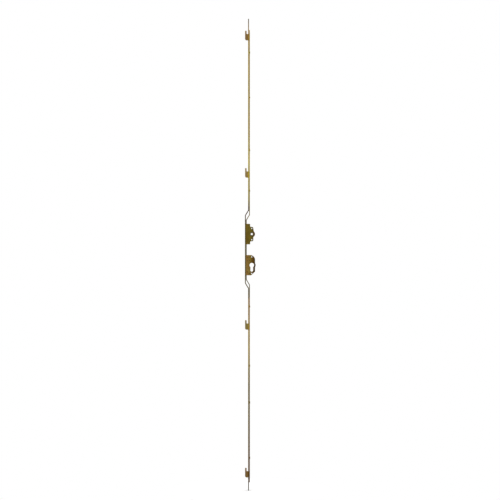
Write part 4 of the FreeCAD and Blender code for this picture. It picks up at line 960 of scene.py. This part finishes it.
for name, node, parts in (
    ("handle_bushes_turned", "handle_screw_bushes", [threaded_bush(*at) for at in HANDLE_SCREWS]),
    ("escutcheon_bushes_turned", "escutcheon_screw_bushes",
     [threaded_bush(*at) for at in ESCUTCHEON_SCREWS]),
    ("gearbox_pillars_turned", "gearbox_pillars", [pillar(*at) for at in GEARBOX_PILLARS]),
    ("lock_pillars_turned", "lock_pillars", [pillar(*at) for at in LOCKBOX_PILLARS]),
    ("slide_spring_post_turned", "slide_spring_post", [pillar(*SPRING_POST, SPRING_POST_RADIUS)]),
):
    finished(name, parts, "case", [oiled_and_shade_darkened_zinc], [node])

# Follower, rack and deadlock. These are the real working shapes from the frame. The follower and the rack are
# sintered steel and take the plating darker and duller. The slide is stamped, the block and guides are
# milled, and they are oiled like the pillars and share their tint, which is darkened with painted shade.
SOFT_EDGE = 0.12
SOFT_EDGE_ANGLE = math.radians(40)
WELD_REACH = 0.002

sintered = yellow_zinc("sintered_steel_oiled", [(0.0, "#5f5637"), (0.5, "#6b6244"), (1.0, "#57502f")],
                       gearbox_drift, film=0.1, roughness=0.46, grain=("Object", 1.0))


def carried_over(name, material, edge):
    """Gives a CAD node its finish and softens its sharp edges a little."""
    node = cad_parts[name]
    node.data.materials.clear()
    node.data.materials.append(material)
    weld = node.modifiers.new("weld", "WELD")
    weld.merge_threshold = WELD_REACH * MM
    soft = node.modifiers.new("softened edges", "BEVEL")
    soft.width = edge * MM
    soft.segments = 2
    soft.limit_method = "ANGLE"
    soft.angle_limit = SOFT_EDGE_ANGLE
    soft.harden_normals = True


for name in ("follower", "drive_rack"):
    carried_over(name, sintered, SOFT_EDGE)
for name in ("deadlock_slide", "deadlock_block", "deadlock_block_pin", "deadlock_lower_guide",
             "deadlock_upper_guide", "slide_lower_stud"):
    carried_over(name, oiled_and_shade_darkened_zinc, SOFT_EDGE)

# Springs. Both are bent from hardened strip and left as they come from tempering, oiled and not plated. The
# thin oxide of the tempering gives them a dark blue that turns to plum in patches.
SPRING_EDGE = 0.08
HEAT_PATCH = 6.0

spring_blue = bpy.data.materials.new("tempered_spring_strip")
spring_blue.use_nodes = True
spring_tree = spring_blue.node_tree
spring_shader = spring_tree.nodes["Principled BSDF"]
spring_place = add(spring_tree, "TexCoord").outputs["Object"]
spring_heat = noise(spring_tree, spring_place, HEAT_PATCH)
spring_tint = gradient(spring_tree, spring_heat, [(0.35, "#2c3442"), (0.55, "#3d4048"), (0.7, "#4a3f45")])
spring_tree.links.new(spring_tint, spring_shader.inputs["Base Color"])
spring_shader.inputs["Metallic"].default_value = 1.0
spring_rough = fitted(spring_tree, spring_heat, (0.0, 1.0), (0.22, 0.38))
spring_tree.links.new(spring_rough, spring_shader.inputs["Roughness"])
for name in ("follower_detent_spring", "slide_detent_spring"):
    carried_over(name, spring_blue, SPRING_EDGE)

# Floor, light and view. The photograph is a flat side view on pure white, so the floor and the surroundings
# are white, the light is broad and soft, and the camera stands far off, level with the middle of the lock.
# From here on sizes are in metres.
FLOOR_RADIUS = 0.3
FLOOR_GAP = 0.0005
PICTURE_HEIGHT = 1.9
VIEW_CENTRE = (-0.00676, -0.06042)
CAMERA_DISTANCE = 6.0
SENSOR_WIDTH = 36.0
AIM = (0, 0, -0.08)

floor_mesh = bpy.data.meshes.new("floor")
floor_shape = bmesh.new()
bmesh.ops.create_circle(floor_shape, cap_ends=True, segments=96, radius=FLOOR_RADIUS)
floor_shape.to_mesh(floor_mesh)
floor_shape.free()
floor = bpy.data.objects.new("floor", floor_mesh)
floor.location = (0, 0, FACEPLATE_ENDS[0] * MM - FLOOR_GAP)
bpy.context.scene.collection.objects.link(floor)

# The paint looks white to the camera, and throws less light back up at the lock than it would.
floor_paint = bpy.data.materials.new("white_painted_floor")
floor_paint.use_nodes = True
floor_tree = floor_paint.node_tree
floor_shader = floor_tree.nodes["Principled BSDF"]
floor_grain = add(floor_tree, "TexNoise", {"Scale": 40.0, "Detail": 2.0})
floor_tint = gradient(floor_tree, floor_grain.outputs["Fac"], [(0.3, "#e8e8e8"), (0.7, "#ececec")])
floor_tree.links.new(floor_tint, floor_shader.inputs["Base Color"])
floor_shader.inputs["Roughness"].default_value = 0.8
floor_dim = add(floor_tree, "BsdfDiffuse", {"Color": linear("#9c9c9c")})
floor_seen = add(floor_tree, "LightPath").outputs["Is Camera Ray"]
floor_mix = add(floor_tree, "MixShader", {0: floor_seen, 1: floor_dim.outputs[0],
                                          2: floor_shader.outputs[0]})
floor_tree.links.new(floor_mix.outputs[0], floor_tree.nodes["Material Output"].inputs["Surface"])
floor_mesh.materials.append(floor_paint)

# The surroundings look white too, and light the lock more from above than from below, and less from the
# camera's side.
surroundings = bpy.data.worlds.new("white_studio")
surroundings.use_nodes = True
sky = surroundings.node_tree
sky.nodes.clear()
facing = add(sky, "SeparateXYZ", {"Vector": add(sky, "TexCoord").outputs["Generated"]})
from_above = fitted(sky, facing.outputs["Z"], (-0.7, 0.8), (0.55, 1.2))
from_camera = fitted(sky, facing.outputs["Y"], (-1.0, -0.3), (0.55, 1.0))
level = product(sky, from_above, from_camera)
lit = add(sky, "Background", {"Color": (1, 1, 1, 1), "Strength": level})
seen = add(sky, "Background", {"Color": (1, 1, 1, 1), "Strength": 1.0})
ray = add(sky, "LightPath").outputs["Is Camera Ray"]
mixed = add(sky, "MixShader", {0: ray, 1: lit.outputs[0], 2: seen.outputs[0]})
add(sky, "OutputWorld", {"Surface": mixed.outputs[0]})
bpy.context.scene.world = surroundings


def softbox(name, place, size, power):
    """A large soft light that looks at the middle of the lock."""
    light = bpy.data.lights.new(name, "AREA")
    light.shape = "RECTANGLE"
    light.size, light.size_y = size
    light.energy = power
    lamp = bpy.data.objects.new(name, light)
    lamp.location = place
    aim = bpy.data.objects.new(name + "_aim", None)
    aim.location = AIM
    for made in (lamp, aim):
        bpy.context.scene.collection.objects.link(made)
    look = lamp.constraints.new("TRACK_TO")
    look.target = aim
    look.track_axis = "TRACK_NEGATIVE_Z"
    look.up_axis = "UP_Y"


softbox("key_softbox", (-2.6, -3.2, 1.8), (2.0, 2.6), 50.0)
softbox("fill_softbox", (3.2, -2.4, 0.6), (1.6, 2.6), 22.0)
softbox("back_softbox", (1.5, 3.5, 1.8), (2.2, 2.2), 45.0)

camera_data = bpy.data.cameras.new("side_view")
camera_data.sensor_width = SENSOR_WIDTH
camera_data.lens = SENSOR_WIDTH * CAMERA_DISTANCE / PICTURE_HEIGHT
camera_data.clip_end = 60.0
camera = bpy.data.objects.new("side_view", camera_data)
camera.location = (VIEW_CENTRE[0], -CAMERA_DISTANCE, VIEW_CENTRE[1])
camera.rotation_euler = (math.radians(90), 0, 0)
bpy.context.scene.collection.objects.link(camera)
bpy.context.scene.camera = camera
bpy.context.scene.view_settings.view_transform = "Standard"
